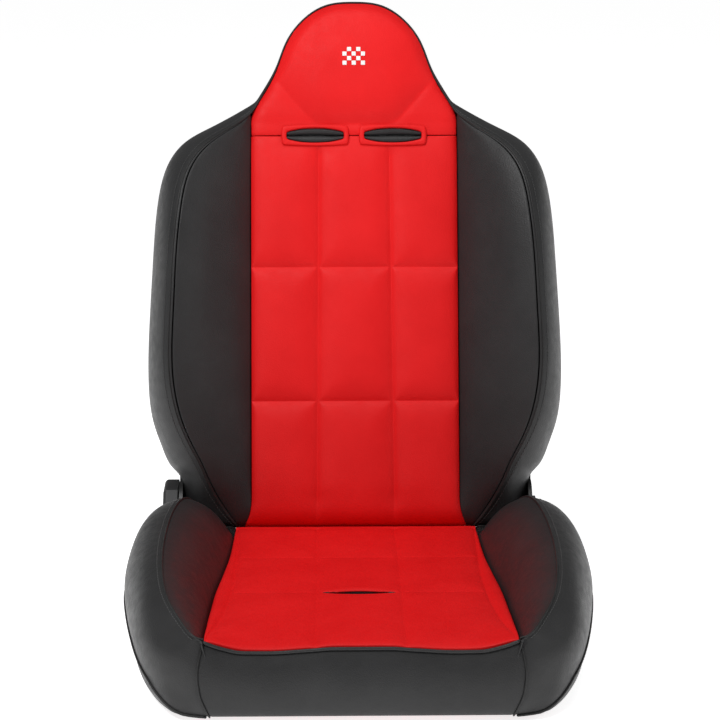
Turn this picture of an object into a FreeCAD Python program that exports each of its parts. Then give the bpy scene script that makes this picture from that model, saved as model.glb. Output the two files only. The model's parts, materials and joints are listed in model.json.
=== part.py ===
"""Reclining suspension racing seat, as an assembly of its separate pieces.

Row frame, in millimetres: the seat faces -Y, +Z is up, and +X is the occupant's left.
The origin is the centre of the floor mounting pattern, on the underside of the two mounting rails.
The occupant's right (-X) has the release lever, so pieces come as NAME_right and NAME_left.
"""

import FreeCAD, Part
import math
import os
from FreeCAD import Placement, Rotation, Vector

# ---------------------------------------------------------------- driving dimensions
RIGHT, LEFT = -1, 1
SIDES = {"right": RIGHT, "left": LEFT}

LEAN_DEG = 19.0  # the backrest's lean behind the vertical, at rest
JUNCTION_Y, JUNCTION_Z = 215.0, 71.0  # where the backrest's front plane meets the cushion
PIVOT_DEPTH, PIVOT_UP = 28.0, 32.0  # recline axis, behind and above that line, in the leaning frame

# mounting rails and base frame
MOUNT_X, MOUNT_Y = 177.5, 155.0  # half the hole spacing across and along
RAIL_W, RAIL_H, RAIL_WALL = 30.0, 12.0, 2.0
RAIL_Y = (-216.0, 270.0)
BOLT_R = 4.0  # M8
FRAME_R, FRAME_WALL = 11.0, 1.8
FRAME_X = 234.0
FRAME_Z = RAIL_H + FRAME_R
FRAME_FRONT_Y, FRAME_REAR_Y, FRAME_END_Y = -204.0, 201.0, 214.0
HOOP_R = 7.0
HOOP_TOP_Z, HOOP_Y = 112.0, (-185.0, 150.0)

# suspension liners and their shock cords
LINER_T = 2.0
LINER_Z = 36.5
LINER_X, LINER_Y = 207.0, (-178.0, 175.0)
EYELET_IN = 10.0  # from the liner's edge to an eyelet's centre
EYELET_HOLE_R, EYELET_R = 4.2, 7.0
CORD_R = 2.5
CORD_TURN_R = 7.0  # a cord's turn round the liner's edge
STRAP_SLOT = (50.0, -67.0, 9.0)  # half length, y and half width of the lap strap's slot

# cushion
PAD_FRONT_Y, PAD_FRONT_Z = -270.0, 93.0
PAD_X = ((-270.0, 186.0), (-133.0, 185.0), (24.0, 175.0), (190.0, 165.0))  # (y, half width)
PAD_REAR_Y, PAD_REAR_FLOOR_Z = 219.0, 65.0
FOAM_FLOOR_Z = 48.0  # underside of the foam, over the frame and cords
BOSS_X = 178.0  # the foam block under the pad that rests on the liner
COVER_T = 3.0
SKIRT_Y = -289.0
HEM_Z = 8.0  # lowest edge of the upholstery

# base bolster stations: y, inner x, inner z, crest x, crest z, widest x, widest z, hem x
BASE_BOLSTER = (
    (-283.0, 187.0, 98.0, 191.0, 102.0, 199.0, 70.0, 190.0),
    (-262.0, 187.5, 94.0, 204.0, 112.0, 236.0, 68.0, 216.0),
    (-215.0, 187.5, 91.0, 226.0, 125.0, 269.0, 71.0, 248.0),
    (-150.0, 187.0, 88.0, 241.0, 137.0, 289.0, 76.0, 260.0),
    (-75.0, 184.0, 84.0, 246.0, 147.0, 299.0, 80.0, 268.0),
    (0.0, 178.0, 81.0, 245.0, 151.0, 300.0, 82.0, 268.0),
    (80.0, 172.0, 77.0, 240.0, 150.0, 292.0, 82.0, 262.0),
    (140.0, 168.5, 75.0, 231.0, 143.0, 280.0, 80.0, 256.0),
    (185.0, 167.0, 72.0, 220.0, 120.0, 266.0, 72.0, 250.5),
    (203.0, 167.0, 66.0, 212.0, 98.0, 254.0, 62.0, 249.0),
)

# backrest, in its own upright frame: x, depth behind the front plane, height above the junction
BACK_FRONT, BACK_PAD_T = 0.0, 25.0
BACK_REAR = 60.0
RIM_DEPTH, PANEL_T = 30.0, 3.0  # the rear panel's front rim and its wall
FOOT_R = 29.5  # the pads' rounded foot, round the recline axis
INSERT_X = 143.5
SLOT_S, SLOT_X, SLOT_HALF = 548.0, 54.0, (40.0, 8.5)  # harness slots
LEG_X, LEG_DEPTH, LEG_R, LEG_WALL = 220.0, 39.0, 12.5, 2.0
LEG_FOOT_S = 58.0
BAR_R, BAR_WALL = 9.0, 1.6
LOWER_BAR_S, BAR_FROM_SLOT = 78.0, 25.0
# the hoop's corners: x, height, bend radius
HOOP_CORNERS = ((220.0, 430.0, 90.0), (112.0, 576.0, 60.0), (84.0, 634.0, 90.0), (52.0, 706.0, 38.0))
# outer outline of the backrest: half width at each height, bottom to top
OUTLINE = (
    (0.0, 226.0), (45.0, 236.0), (84.0, 238.0), (112.0, 258.0), (150.0, 276.0), (212.0, 286.5),
    (300.0, 285.0), (380.0, 280.5), (450.0, 275.0), (500.0, 265.0), (536.0, 243.0), (560.0, 207.0),
    (580.0, 167.0), (605.0, 130.0), (640.0, 108.0), (681.0, 93.0), (711.0, 68.0), (730.0, 38.0), (738.0, 0.0),
)
# back bolster stations: height, crest x, crest height in front of the insert, outer x
BACK_BOLSTER = (
    (4.0, 170.0, 1.0, 196.0),
    (32.0, 182.0, 12.0, 226.0),
    (62.0, 198.0, 27.0, 236.0),
    (88.0, 209.0, 40.0, 238.0),
    (112.0, 221.0, 50.0, 257.0),
    (150.0, 237.0, 64.0, 275.0),
    (212.0, 248.5, 78.0, 285.5),
    (300.0, 247.0, 86.0, 284.0),
    (380.0, 243.0, 86.0, 279.5),
    (440.0, 237.0, 80.0, 275.0),
    (490.0, 226.0, 66.0, 266.0),
    (525.0, 205.0, 47.0, 249.0),
    (552.0, 173.0, 24.0, 219.0),
    (568.0, 150.0, 6.0, 190.0),
)
HEAD_S = 572.0
HEAD_X = ((HEAD_S, 143.0), (605.0, 126.0), (640.0, 105.0), (681.0, 90.0), (711.0, 65.0), (728.0, 38.0))
HEAD_BULGE = 16.0

# recliner, across the seat
BACK_PLATE_X = (238.0, 243.0)
BASE_PLATE_X = (245.0, 250.0)
COVER_X = (245.0, 265.0)
PIVOT_R, BUSH_R = 6.0, 8.0
RUNNING_GAP = 0.05
TOOTH_TIP_R, TOOTH_ROOT_R, TOOTH_DEG = 41.0, 39.2, 3.0
SHAFT_R = 5.0
PAWL_ARM = 32.0
PAWL_GAP = 0.25
RECLINE_DEG = (-18.0, 72.0)  # forward, rearward
PLATE_SPARE_DEG = 12.0  # teeth past each end of the range
BACK_BOLT_S = (98.0, 138.0)  # bolts that hold the back plate on the leg
COVER_SCREWS = ((214.0, 80.0), (280.0, 62.0))  # (y, z)
COVER_WALL = 2.6
SPRING_X = (225.5, 232.5)
SPRING_TURNS, SPRING_INNER_R, SPRING_PITCH, SPRING_T = 3.25, 7.2, 4.6, 1.2
SPRING_POST_UP = 27.0

# release lever
LEVER_HUB_X = (266.0, 276.0)
LEVER_ARM_X = (294.0, 300.0)
LEVER_TIP_Y = 92.0

# ---------------------------------------------------------------- derived places
BACK_PLACE = Placement(Vector(0, JUNCTION_Y, JUNCTION_Z), Rotation(Vector(1, 0, 0), -LEAN_DEG))
PIVOT = BACK_PLACE.multVec(Vector(0, PIVOT_DEPTH, PIVOT_UP))
MESH_POINT = PIVOT + Vector(0, 0, -TOOTH_TIP_R)  # where the pawl bites the sector
SHAFT = MESH_POINT + Vector(0, -PAWL_ARM, 0)
X_AXIS, Y_AXIS, Z_AXIS = Vector(1, 0, 0), Vector(0, 1, 0), Vector(0, 0, 1)


# ---------------------------------------------------------------- helpers
def box(x, y, z):
    """A box between pairs of coordinates."""
    return Part.makeBox(x[1] - x[0], y[1] - y[0], z[1] - z[0], Vector(x[0], y[0], z[0]))


def mirrored(shape):
    """The same piece on the other side of the seat."""
    return shape.mirror(Vector(0, 0, 0), X_AXIS)


def on_side(shape, side):
    """A piece modelled on the left, put on the side asked for."""
    return shape if side == LEFT else mirrored(shape)


def rod_x(x, y, z, radius):
    return Part.makeCylinder(radius, x[1] - x[0], Vector(x[0], y, z), X_AXIS)


def prism_x(points, x):
    """A polygon of (y, z) points, drawn out between two x."""
    corners = [Vector(x[0], y, z) for y, z in points]
    face = Part.Face(Part.makePolygon(corners + corners[:1]))
    return face.extrude(Vector(x[1] - x[0], 0, 0))


def hexagon_prism(across, length, base, axis):
    radius = across / math.sqrt(3)
    angles = [k * math.pi / 3 for k in range(6)]
    corners = [Vector(radius * math.cos(a), radius * math.sin(a), 0) for a in angles]
    solid = Part.Face(Part.makePolygon(corners + corners[:1])).extrude(Vector(0, 0, length))
    solid.Placement = Placement(base, Rotation(Z_AXIS, axis))
    return solid


def rounded_path(corners):
    """Straight runs through (point, bend radius) corners, joined by tangent arcs."""
    edges, start = [], corners[0][0]
    for (before, _), (point, radius), (after, _) in zip(corners, corners[1:], corners[2:]):
        to_start, to_end = (before - point).normalize(), (after - point).normalize()
        half_turn = (math.pi - to_start.getAngle(to_end)) / 2
        reach = radius * math.tan(half_turn)
        first, last = point + to_start * reach, point + to_end * reach
        bisector = (to_start + to_end).normalize()
        middle = point + bisector * (radius / math.cos(half_turn) - radius)
        edges += [Part.LineSegment(start, first).toShape(), Part.Arc(first, middle, last).toShape()]
        start = last
    edges.append(Part.LineSegment(start, corners[-1][0]).toShape())
    return Part.Wire(edges)


def swept(path, radius):
    edge = path.Edges[0]
    start, tangent = edge.valueAt(edge.FirstParameter), edge.tangentAt(edge.FirstParameter)
    ring = Part.Wire(Part.makeCircle(radius, start, tangent))
    return Part.Solid(path.makePipeShell([ring], True, False))


def tube(path, radius, wall):
    return swept(path, radius).cut(swept(path, radius - wall))


def straight_tube(start, end, radius, wall):
    length, axis = (end - start).Length, end - start
    outer = Part.makeCylinder(radius, length, start, axis)
    return outer.cut(Part.makeCylinder(radius - wall, length, start, axis))


def polygon_loft(sections):
    """A closed solid through polygons that have the same number of corners."""
    wires = [Part.makePolygon(list(s) + [s[0]]) for s in sections]
    return Part.makeLoft(wires, True, True)


def shrunk(sections, by):
    """The polygons drawn in towards their middles, and the two ends drawn inwards, by a cover's thickness."""
    inner = []
    for section in sections:
        middle = sum(section, Vector()) * (1 / len(section))
        steps = [min(1.6 * by, 0.4 * (middle - p).Length) for p in section]
        inner.append([p + (middle - p).normalize() * step for p, step in zip(section, steps)])
    first = (inner[1][0] - inner[0][0]).normalize() * by
    last = (inner[-2][0] - inner[-1][0]).normalize() * by
    inner[0] = [p + first for p in inner[0]]
    inner[-1] = [p + last for p in inner[-1]]
    return inner


def cover_and_foam(sections, room=()):
    """A sewn cover with the foam that fills it, both cleared of the shapes in room."""
    outer, foam = polygon_loft(sections), polygon_loft(shrunk(sections, COVER_T))
    for shape in room:
        outer, foam = outer.cut(shape), foam.cut(shape)
    return outer.cut(foam), foam


def cord_loop(tube_radius, reach, rise):
    """One shock cord, as a belt in the YZ plane round a tube at the origin and through an eyelet
    at (-reach, rise), which is as far inside the liner's edge as the cord's turn is wide."""
    big, small = tube_radius + CORD_R, CORD_TURN_R
    centre = Vector(0, -reach + CORD_TURN_R, rise)
    angle = math.atan2(centre.z, centre.y)
    spread = math.acos((big - small) / centre.Length)

    def at(middle, radius, direction):
        return middle + Vector(0, math.cos(direction), math.sin(direction)) * radius

    origin = Vector(0, 0, 0)
    upper, lower = angle - spread, angle + spread
    path = Part.Wire([
        Part.Arc(at(origin, big, upper), at(origin, big, angle + math.pi), at(origin, big, lower)).toShape(),
        Part.LineSegment(at(origin, big, lower), at(centre, small, lower)).toShape(),
        Part.Arc(at(centre, small, lower), at(centre, small, angle), at(centre, small, upper)).toShape(),
        Part.LineSegment(at(centre, small, upper), at(origin, big, upper)).toShape(),
    ])
    pieces = [swept(Part.Wire([edge]), CORD_R) for edge in path.Edges]
    return pieces[0].multiFuse(pieces[1:])


def placed(shape, where, turn_deg=0.0, turn_axis=Z_AXIS):
    copy = shape.copy()
    copy.Placement = Placement(where, Rotation(turn_axis, turn_deg)).multiply(copy.Placement)
    return copy


def in_back(shape):
    """A piece drawn in the backrest's upright frame, leant to its place."""
    copy = shape.copy()
    copy.Placement = BACK_PLACE.multiply(copy.Placement)
    return copy


NODES = {}


def keep(name, *shapes):
    solids = [s for shape in shapes for s in shape.Solids]
    NODES[name] = solids[0] if len(solids) == 1 else Part.makeCompound(solids)


# ---------------------------------------------------------------- base frame
def mount_rail():
    """A box-section rail with an M8 hole near each end, open at its ends."""
    x = (MOUNT_X - RAIL_W / 2, MOUNT_X + RAIL_W / 2)
    inner = (x[0] + RAIL_WALL, x[1] - RAIL_WALL)
    rail = box(x, RAIL_Y, (0, RAIL_H)).cut(box(inner, RAIL_Y, (RAIL_WALL, RAIL_H - RAIL_WALL)))
    for y in (-MOUNT_Y, MOUNT_Y):
        rail = rail.cut(Part.makeCylinder(BOLT_R, RAIL_H, Vector(MOUNT_X, y, 0)))
    return rail


def rail_nuts():
    """Weld nuts inside the rails, over the mounting holes."""
    nuts = []
    for x in (-MOUNT_X, MOUNT_X):
        for y in (-MOUNT_Y, MOUNT_Y):
            nut = hexagon_prism(13, RAIL_H - 2 * RAIL_WALL, Vector(x, y, RAIL_WALL), Z_AXIS)
            nuts.append(nut.cut(Part.makeCylinder(BOLT_R, RAIL_H, Vector(x, y, 0))))
    return nuts


def base_frame():
    """Two side tubes, and the front and rear cross tubes coped to fit between them."""
    start, end = Vector(FRAME_X, FRAME_FRONT_Y - FRAME_R, FRAME_Z), Vector(FRAME_X, FRAME_END_Y, FRAME_Z)
    side = straight_tube(start, end, FRAME_R, FRAME_WALL)
    side_solid = Part.makeCylinder(FRAME_R, (end - start).Length, start, Y_AXIS)
    for name, y in (("front", FRAME_FRONT_Y), ("rear", FRAME_REAR_Y)):
        cross = straight_tube(Vector(-FRAME_X, y, FRAME_Z), Vector(FRAME_X, y, FRAME_Z), FRAME_R, FRAME_WALL)
        keep(f"base_{name}_tube", cross.cut(side_solid).cut(mirrored(side_solid)))
    for name, sign in SIDES.items():
        keep(f"base_side_tube_{name}", on_side(side, sign))


def bolster_hoop_path():
    low = FRAME_Z
    return rounded_path([
        (Vector(FRAME_X, HOOP_Y[0], low), 0),
        (Vector(FRAME_X, HOOP_Y[0], HOOP_TOP_Z), 40),
        (Vector(FRAME_X, HOOP_Y[1], HOOP_TOP_Z), 40),
        (Vector(FRAME_X, HOOP_Y[1], low), 0),
    ])


def liner_sheet(x, y, eyelets, slots):
    """A flat liner between z 0 and its thickness, with its eyelet holes and slots cut."""
    sheet = box((-x, x), y, (0, LINER_T))
    for centre in eyelets:
        sheet = sheet.cut(Part.makeCylinder(EYELET_HOLE_R, LINER_T, Vector(*centre, 0)))
    for half, middle_y, half_width in slots:
        sheet = sheet.cut(box((-half, half), (middle_y - half_width, middle_y + half_width), (0, LINER_T)))
    return sheet


def eyelet():
    """A brass ring in a liner's hole: a barrel with a flange on each face."""
    wall = 0.8
    low, height = Vector(0, 0, -wall), LINER_T + 2 * wall
    barrel = Part.makeCylinder(EYELET_HOLE_R, height, low)
    for z in (-wall, LINER_T):
        barrel = barrel.fuse(Part.makeCylinder(EYELET_R, wall, Vector(0, 0, z)))
    return barrel.cut(Part.makeCylinder(EYELET_HOLE_R - wall, height, low)).removeSplitter()


def spread_out(start, end, count):
    return [start + (end - start) * k / (count - 1) for k in range(count)]


def base_suspension():
    """The cushion's liner, its eyelets, and a shock cord from each eyelet round the nearest tube."""
    edge_x = LINER_X - EYELET_IN
    edge_y = (LINER_Y[0] + EYELET_IN, LINER_Y[1] - EYELET_IN)
    along = spread_out(-165.0, 120.0, 6)
    across = spread_out(-142.0, 142.0, 5)
    middle = Vector(0, 0, LINER_Z)
    eyes = [(s * edge_x, y) for s in SIDES.values() for y in along] + [(x, y) for y in edge_y for x in across]
    keep("base_liner", placed(liner_sheet(LINER_X, LINER_Y, eyes, [STRAP_SLOT]), middle))
    keep("base_liner_eyelets", *[placed(eyelet(), middle + Vector(*e, 0)) for e in eyes])
    rise = LINER_Z + LINER_T / 2 - FRAME_Z
    side_loop = cord_loop(FRAME_R, FRAME_X - edge_x, rise)
    front_loop = cord_loop(FRAME_R, edge_y[0] - FRAME_FRONT_Y, rise)
    rear_loop = cord_loop(FRAME_R, FRAME_REAR_Y - edge_y[1], rise)
    loops = [placed(side_loop, Vector(FRAME_X, y, FRAME_Z), -90) for y in along]
    loops += [placed(side_loop, Vector(-FRAME_X, y, FRAME_Z), 90) for y in along]
    loops += [placed(front_loop, Vector(x, FRAME_FRONT_Y, FRAME_Z), 180) for x in across]
    loops += [placed(rear_loop, Vector(x, FRAME_REAR_Y, FRAME_Z)) for x in across]
    keep("base_shock_cords", *loops)


# ---------------------------------------------------------------- cushion
def pad_top(y):
    share = (y - JUNCTION_Y) / (PAD_FRONT_Y - JUNCTION_Y)
    return JUNCTION_Z + share * (PAD_FRONT_Z - JUNCTION_Z)


def strap_slot():
    half, y, half_width = STRAP_SLOT
    return box((-half + 4, half - 4), (y - half_width + 3, y + half_width - 3), (0, 160))


def cushion():
    """The quilted centre pad: a wedge of foam in its cover, on a block that rests on the liner."""
    room = [rod_x((-320, 320), PIVOT.y, PIVOT.z, FOOT_R + 1.5), strap_slot()]
    sections = []
    for y, half in PAD_X + ((PAD_REAR_Y, PAD_X[-1][1]),):
        floor = FOAM_FLOOR_Z if y < PAD_REAR_Y else PAD_REAR_FLOOR_Z
        top = pad_top(y)
        sections.append([
            Vector(-half, y, floor), Vector(half, y, floor), Vector(half, y, top), Vector(-half, y, top),
        ])
    cover, foam = cover_and_foam(sections, room)
    keep("cushion_cover", cover)
    keep("cushion_foam", foam)
    block = box((-BOSS_X, BOSS_X), (LINER_Y[0] + 26, LINER_Y[1] - 26), (LINER_Z + LINER_T, FOAM_FLOOR_Z))
    keep("cushion_support_felt", block.cut(strap_slot()))
    keep("strap_slot_trim", slot_trim())


def slot_trim():
    """The lap strap slot's lining, through the pad."""
    half, y, half_width = STRAP_SLOT
    wall = 1.5
    x, span = (-half + 4, half - 4), (y - half_width + 3, y + half_width - 3)
    z = (LINER_Z + LINER_T, pad_top(y) + wall)
    hole = box((x[0] + wall, x[1] - wall), (span[0] + wall, span[1] - wall), (z[0] - 1, z[1] + 1))
    return box(x, span, z).cut(hole)


def base_bolster_sections():
    sections = []
    for y, x_in, z_in, x_crest, z_crest, x_wide, z_wide, x_hem in BASE_BOLSTER:
        rise, out = z_crest - z_in, x_wide - x_crest
        outline = [
            (x_in, HEM_Z), (x_in, z_in), (x_in + 0.45 * (x_crest - x_in), z_in + 0.65 * rise),
            (x_in + 0.85 * (x_crest - x_in), z_in + 0.97 * rise), (x_crest + 0.1 * out, z_crest),
            (x_crest + 0.62 * out, z_crest - 0.3 * (z_crest - z_wide)), (x_wide, z_wide),
            (x_wide - 0.25 * (x_wide - x_hem), z_wide - 0.5 * (z_wide - HEM_Z)), (x_hem, HEM_Z),
        ]
        sections.append([Vector(x, y, z) for x, z in outline])
    return sections


def base_bolsters():
    hoop = bolster_hoop_path()
    side_solid = Part.makeCylinder(FRAME_R, 600, Vector(FRAME_X, FRAME_FRONT_Y, FRAME_Z), Y_AXIS)
    room_x = FRAME_X + FRAME_R + 2 * CORD_R + 1
    frame_room = box((0, room_x), (FRAME_FRONT_Y - FRAME_R - 3, 300.0), (-1, FOAM_FLOOR_Z))
    cover, foam = cover_and_foam(base_bolster_sections(), [frame_room, swept(hoop, HOOP_R)])
    hoop_tube = tube(hoop, HOOP_R, 1.6).cut(side_solid)
    for name, sign in SIDES.items():
        keep(f"base_bolster_cover_{name}", on_side(cover, sign))
        keep(f"base_bolster_foam_{name}", on_side(foam, sign))
    keep("bolster_hoops", hoop_tube, mirrored(hoop_tube))


def front_skirt():
    """The front roll of the cushion, from its top seam to the hem."""
    half = BASE_BOLSTER[0][1]
    profile = [
        (PAD_FRONT_Y, HEM_Z), (PAD_FRONT_Y, PAD_FRONT_Z), (PAD_FRONT_Y - 9, PAD_FRONT_Z - 4), (SKIRT_Y, 70.0),
        (SKIRT_Y, 30.0), (SKIRT_Y + 4, HEM_Z),
    ]
    lower = [(PAD_FRONT_Y, HEM_Z), (PAD_FRONT_Y, PAD_FRONT_Z), (PAD_FRONT_Y - 9, PAD_FRONT_Z - 4),
             (SKIRT_Y + 3, 70.0), (SKIRT_Y + 3, 30.0), (SKIRT_Y + 6, HEM_Z)]
    sections = [[Vector(x, y, z) for y, z in (lower if abs(x) == half else profile)]
                for x in (-half, -100.0, 100.0, half)]
    keep("front_skirt", polygon_loft(sections))


# ---------------------------------------------------------------- backrest
def leg_path():
    corners = [(Vector(-x, LEG_DEPTH, s), r) for x, s, r in HOOP_CORNERS]
    other = [(Vector(x, LEG_DEPTH, s), r) for x, s, r in reversed(HOOP_CORNERS)]
    foot = [(Vector(-LEG_X, LEG_DEPTH, LEG_FOOT_S), 0)]
    return rounded_path(foot + corners + other + [(Vector(LEG_X, LEG_DEPTH, LEG_FOOT_S), 0)])


def back_frame():
    path = leg_path()
    hoop_solid = swept(path, LEG_R)
    keep("back_hoop", in_back(hoop_solid.cut(swept(path, LEG_R - LEG_WALL))))
    bars = []
    for s, x in ((LOWER_BAR_S, LEG_X), (SLOT_S - BAR_FROM_SLOT, 160.0), (SLOT_S + BAR_FROM_SLOT, 125.0)):
        bar = straight_tube(Vector(-x, LEG_DEPTH, s), Vector(x, LEG_DEPTH, s), BAR_R, BAR_WALL)
        bars.append(max(bar.cut(hoop_solid).Solids, key=lambda solid: solid.Volume))
    keep("back_lower_tube", in_back(bars[0]))
    keep("harness_bars", in_back(bars[1]), in_back(bars[2]))


def back_suspension():
    """The backrest's liner in front of its frame, with eyelets and cords like the cushion's."""
    half, low, high = 170.0, 96.0, 460.0
    depth = BACK_PAD_T + 0.5
    edge_x = half - EYELET_IN
    along = spread_out(low + 30, 385.0, 6)
    eyes = [(s * edge_x, z) for s in SIDES.values() for z in along]
    upright = Placement(Vector(0, depth + LINER_T, 0), Rotation(X_AXIS, 90))
    sheet = liner_sheet(half, (low, high), eyes, [])
    sheet.Placement = upright
    rings = [placed(eyelet(), Vector(*e, 0)) for e in eyes]
    for ring in rings:
        ring.Placement = upright.multiply(ring.Placement)
    keep("back_liner", in_back(sheet))
    keep("back_liner_eyelets", *[in_back(r) for r in rings])
    loop = cord_loop(LEG_R, LEG_X - edge_x, LEG_DEPTH - depth - LINER_T / 2)
    loops = []
    for s in along:
        one = loop.copy()
        # the loop's YZ plane is laid across the seat: its Y runs outwards and its Z runs forwards
        across = FreeCAD.Matrix(0, 1, 0, LEG_X, 0, 0, -1, LEG_DEPTH, -1, 0, 0, s, 0, 0, 0, 1)
        one.Placement = Placement(across)
        loops += [in_back(one), in_back(mirrored(one))]
    keep("back_shock_cords", *loops)


def outline_prism(depth, inset=0.0):
    """The backrest's outline, moved inwards by an inset and drawn out between two depths."""
    right = [Vector(-x, depth[0], s) for s, x in OUTLINE]
    points = right + [Vector(-p.x, p.y, p.z) for p in reversed(right[:-1])]
    inner = []
    for k, point in enumerate(points):
        chord = points[min(k + 1, len(points) - 1)] - points[max(k - 1, 0)]
        inner.append(point + Vector(chord.z, 0, -chord.x).normalize() * inset)
    curve = Part.BSplineCurve()
    curve.interpolate(inner)
    base = Part.LineSegment(inner[-1], inner[0]).toShape()
    return Part.Face(Part.Wire([curve.toShape(), base])).extrude(Vector(0, depth[1] - depth[0], 0))


def swing_room(radius):
    """Everything above the recline axis, and below it only what lies within a radius of the axis."""
    above = box((-400, 400), (-200, 200), (PIVOT_UP, 900))
    return above.fuse(rod_x((-400, 400), PIVOT_DEPTH, PIVOT_UP, radius))


def harness_slots(grow=0.0, depth=(-40.0, 90.0)):
    half_x, s = SLOT_HALF[0] + grow, (SLOT_S - SLOT_HALF[1] - grow, SLOT_S + SLOT_HALF[1] + grow)
    slots = [box((x - half_x, x + half_x), depth, s) for x in (-SLOT_X, SLOT_X)]
    return slots[0].fuse(slots[1])


def back_pad():
    """The quilted centre pad, with a rounded foot that turns about the recline axis."""
    sections = [[
        Vector(-INSERT_X, BACK_FRONT, s), Vector(INSERT_X, BACK_FRONT, s),
        Vector(INSERT_X, BACK_PAD_T, s), Vector(-INSERT_X, BACK_PAD_T, s),
    ] for s in (0.0, 300.0, HEAD_S)]
    outer = polygon_loft(sections).common(swing_room(FOOT_R))
    slots = harness_slots(1.5)
    foam = polygon_loft(shrunk(sections, COVER_T)).common(swing_room(FOOT_R - COVER_T)).cut(slots)
    keep("back_pad_cover", in_back(outer.cut(foam).cut(slots)))
    keep("back_pad_foam", in_back(foam))


def head_pad():
    """The headrest, fuller than the back pad, on the top of the same outline."""
    sections = []
    for s, half in HEAD_X:
        full = HEAD_BULGE * math.sin(math.pi * (s - HEAD_S + 6) / 190)
        outline = [
            (-half, 4), (-0.7 * half, -full), (0.7 * half, -full), (half, 4), (half, BACK_PAD_T),
            (-half, BACK_PAD_T),
        ]
        sections.append([Vector(x, depth, s) for x, depth in outline])
    cover, foam = cover_and_foam(sections)
    keep("head_pad_cover", in_back(cover))
    keep("head_pad_foam", in_back(foam))


def back_bolster_sections():
    sections = []
    for s, x_crest, forward, x_out in BACK_BOLSTER:
        inner, rear = INSERT_X, 15.0
        x_rear = max(x_out - 44, inner + 6)
        outline = [
            (inner, 0), (inner + 0.45 * (x_crest - inner), -0.36 * forward), (x_crest - 10, -0.9 * forward),
            (x_crest, -forward), (x_crest + 0.5 * (x_out - x_crest), -0.72 * forward),
            (x_out - 3, -0.15 * forward), (x_out, 14), (x_out - 4, 30), (x_out - 6, 30), (x_rear, rear),
            (inner, rear),
        ]
        sections.append([Vector(x, depth, s) for x, depth in outline])
    return sections


def recliner_room():
    """Room in the upholstery for the back plate with its bolts, and for the pivot bolt and spring."""
    plate = box((BACK_PLATE_X[0] - 6, BACK_PLATE_X[1] + 8), (LEG_DEPTH - 22, 90), (0, 162))
    lower = box((BACK_PLATE_X[0] - 6, BACK_PLATE_X[1] + 8), (-40, 90), (0, 84))
    return plate, lower, rod_x((217, 262), PIVOT_DEPTH, PIVOT_UP, 32.0)


def back_bolsters():
    room = [*recliner_room(), swept(leg_path(), LEG_R + 0.5)]
    sections = back_bolster_sections()
    outer, foam = polygon_loft(sections), polygon_loft(shrunk(sections, COVER_T))
    outer, foam = outer.common(swing_room(FOOT_R)), foam.common(swing_room(FOOT_R - COVER_T))
    for shape in room:
        outer, foam = outer.cut(shape), foam.cut(shape)
    cover = outer.cut(foam)
    for name, sign in SIDES.items():
        keep(f"back_bolster_cover_{name}", in_back(on_side(cover, sign)))
        keep(f"back_bolster_foam_{name}", in_back(on_side(foam, sign)))


def rear_panel():
    """The tray behind the frame: a flat board with the harness slots, and the rim round it."""
    swing = BACK_REAR - PIVOT_DEPTH + 1.5
    outer = outline_prism((RIM_DEPTH, BACK_REAR)).common(swing_room(swing))
    inner = outline_prism((RIM_DEPTH - 1, BACK_REAR - PANEL_T), inset=PANEL_T)
    inner = inner.common(swing_room(swing - PANEL_T))
    tray = outer.cut(inner).cut(harness_slots(1.5))
    for pocket in recliner_room():
        tray = tray.cut(pocket).cut(mirrored(pocket))
    board_room = box((-400, 400), (BACK_REAR - PANEL_T, BACK_REAR + 1), (-200, 900))
    keep("rear_panel", in_back(tray.common(board_room)))
    keep("rear_panel_rim", in_back(tray.cut(board_room)))


def map_pocket():
    """An open-topped pocket sewn to the rear panel."""
    outer = box((-128, 128), (BACK_REAR, BACK_REAR + 14), (110, 330))
    inner = box((-125, 125), (BACK_REAR, BACK_REAR + 11.5), (113, 331))
    keep("map_pocket", in_back(outer.cut(inner)))


def harness_pieces():
    """A sleeve through each harness slot and a padded bezel in front of it."""
    holes = harness_slots()
    sleeves = harness_slots(1.5, (-1.0, BACK_REAR + 1)).cut(holes)
    bezels = harness_slots(5.0, (-4.0, -1.0)).cut(holes)
    keep("harness_sleeves", in_back(sleeves))
    keep("harness_bezels", in_back(bezels))


def badge():
    """A small plain patch on the headrest."""
    keep("head_badge", in_back(box((-15, 15), (-HEAD_BULGE - 0.8, -HEAD_BULGE), (640, 662))))


# ---------------------------------------------------------------- recliner
def toothed_disc(tip, root, first_deg, last_deg):
    """(y, z) corners, round the recline axis, of a disc with teeth between two angles."""
    corners = []
    count = round(360 / TOOTH_DEG)
    for k in range(count):
        angle = k * TOOTH_DEG - 90
        wrapped = (angle + 180) % 360 - 180
        toothed = first_deg <= wrapped <= last_deg
        for offset, radius in ((-TOOTH_DEG / 2, root), (0.0, tip if toothed else root)):
            a = math.radians(angle + offset)
            corners.append((PIVOT.y + radius * math.cos(a), PIVOT.z + radius * math.sin(a)))
    return corners


def back_plate():
    """The moving plate: a toothed sector round the axis with an arm up the frame's leg."""
    first, last = -90 + RECLINE_DEG[0] - PLATE_SPARE_DEG, -90 + RECLINE_DEG[1] + PLATE_SPARE_DEG
    disc = prism_x(toothed_disc(TOOTH_TIP_R, TOOTH_ROOT_R, first, last), BACK_PLATE_X)
    arm = box(BACK_PLATE_X, (LEG_DEPTH - 20, LEG_DEPTH + 16), (PIVOT_UP, 156))
    plate = disc.fuse(in_back(arm)).removeSplitter()
    plate = plate.cut(rod_x((230, 250), PIVOT.y, PIVOT.z, BUSH_R))
    for s in BACK_BOLT_S:
        hole = in_back(rod_x((230, 250), LEG_DEPTH, s, BOLT_R))
        plate = plate.cut(hole)
    return plate


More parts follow.
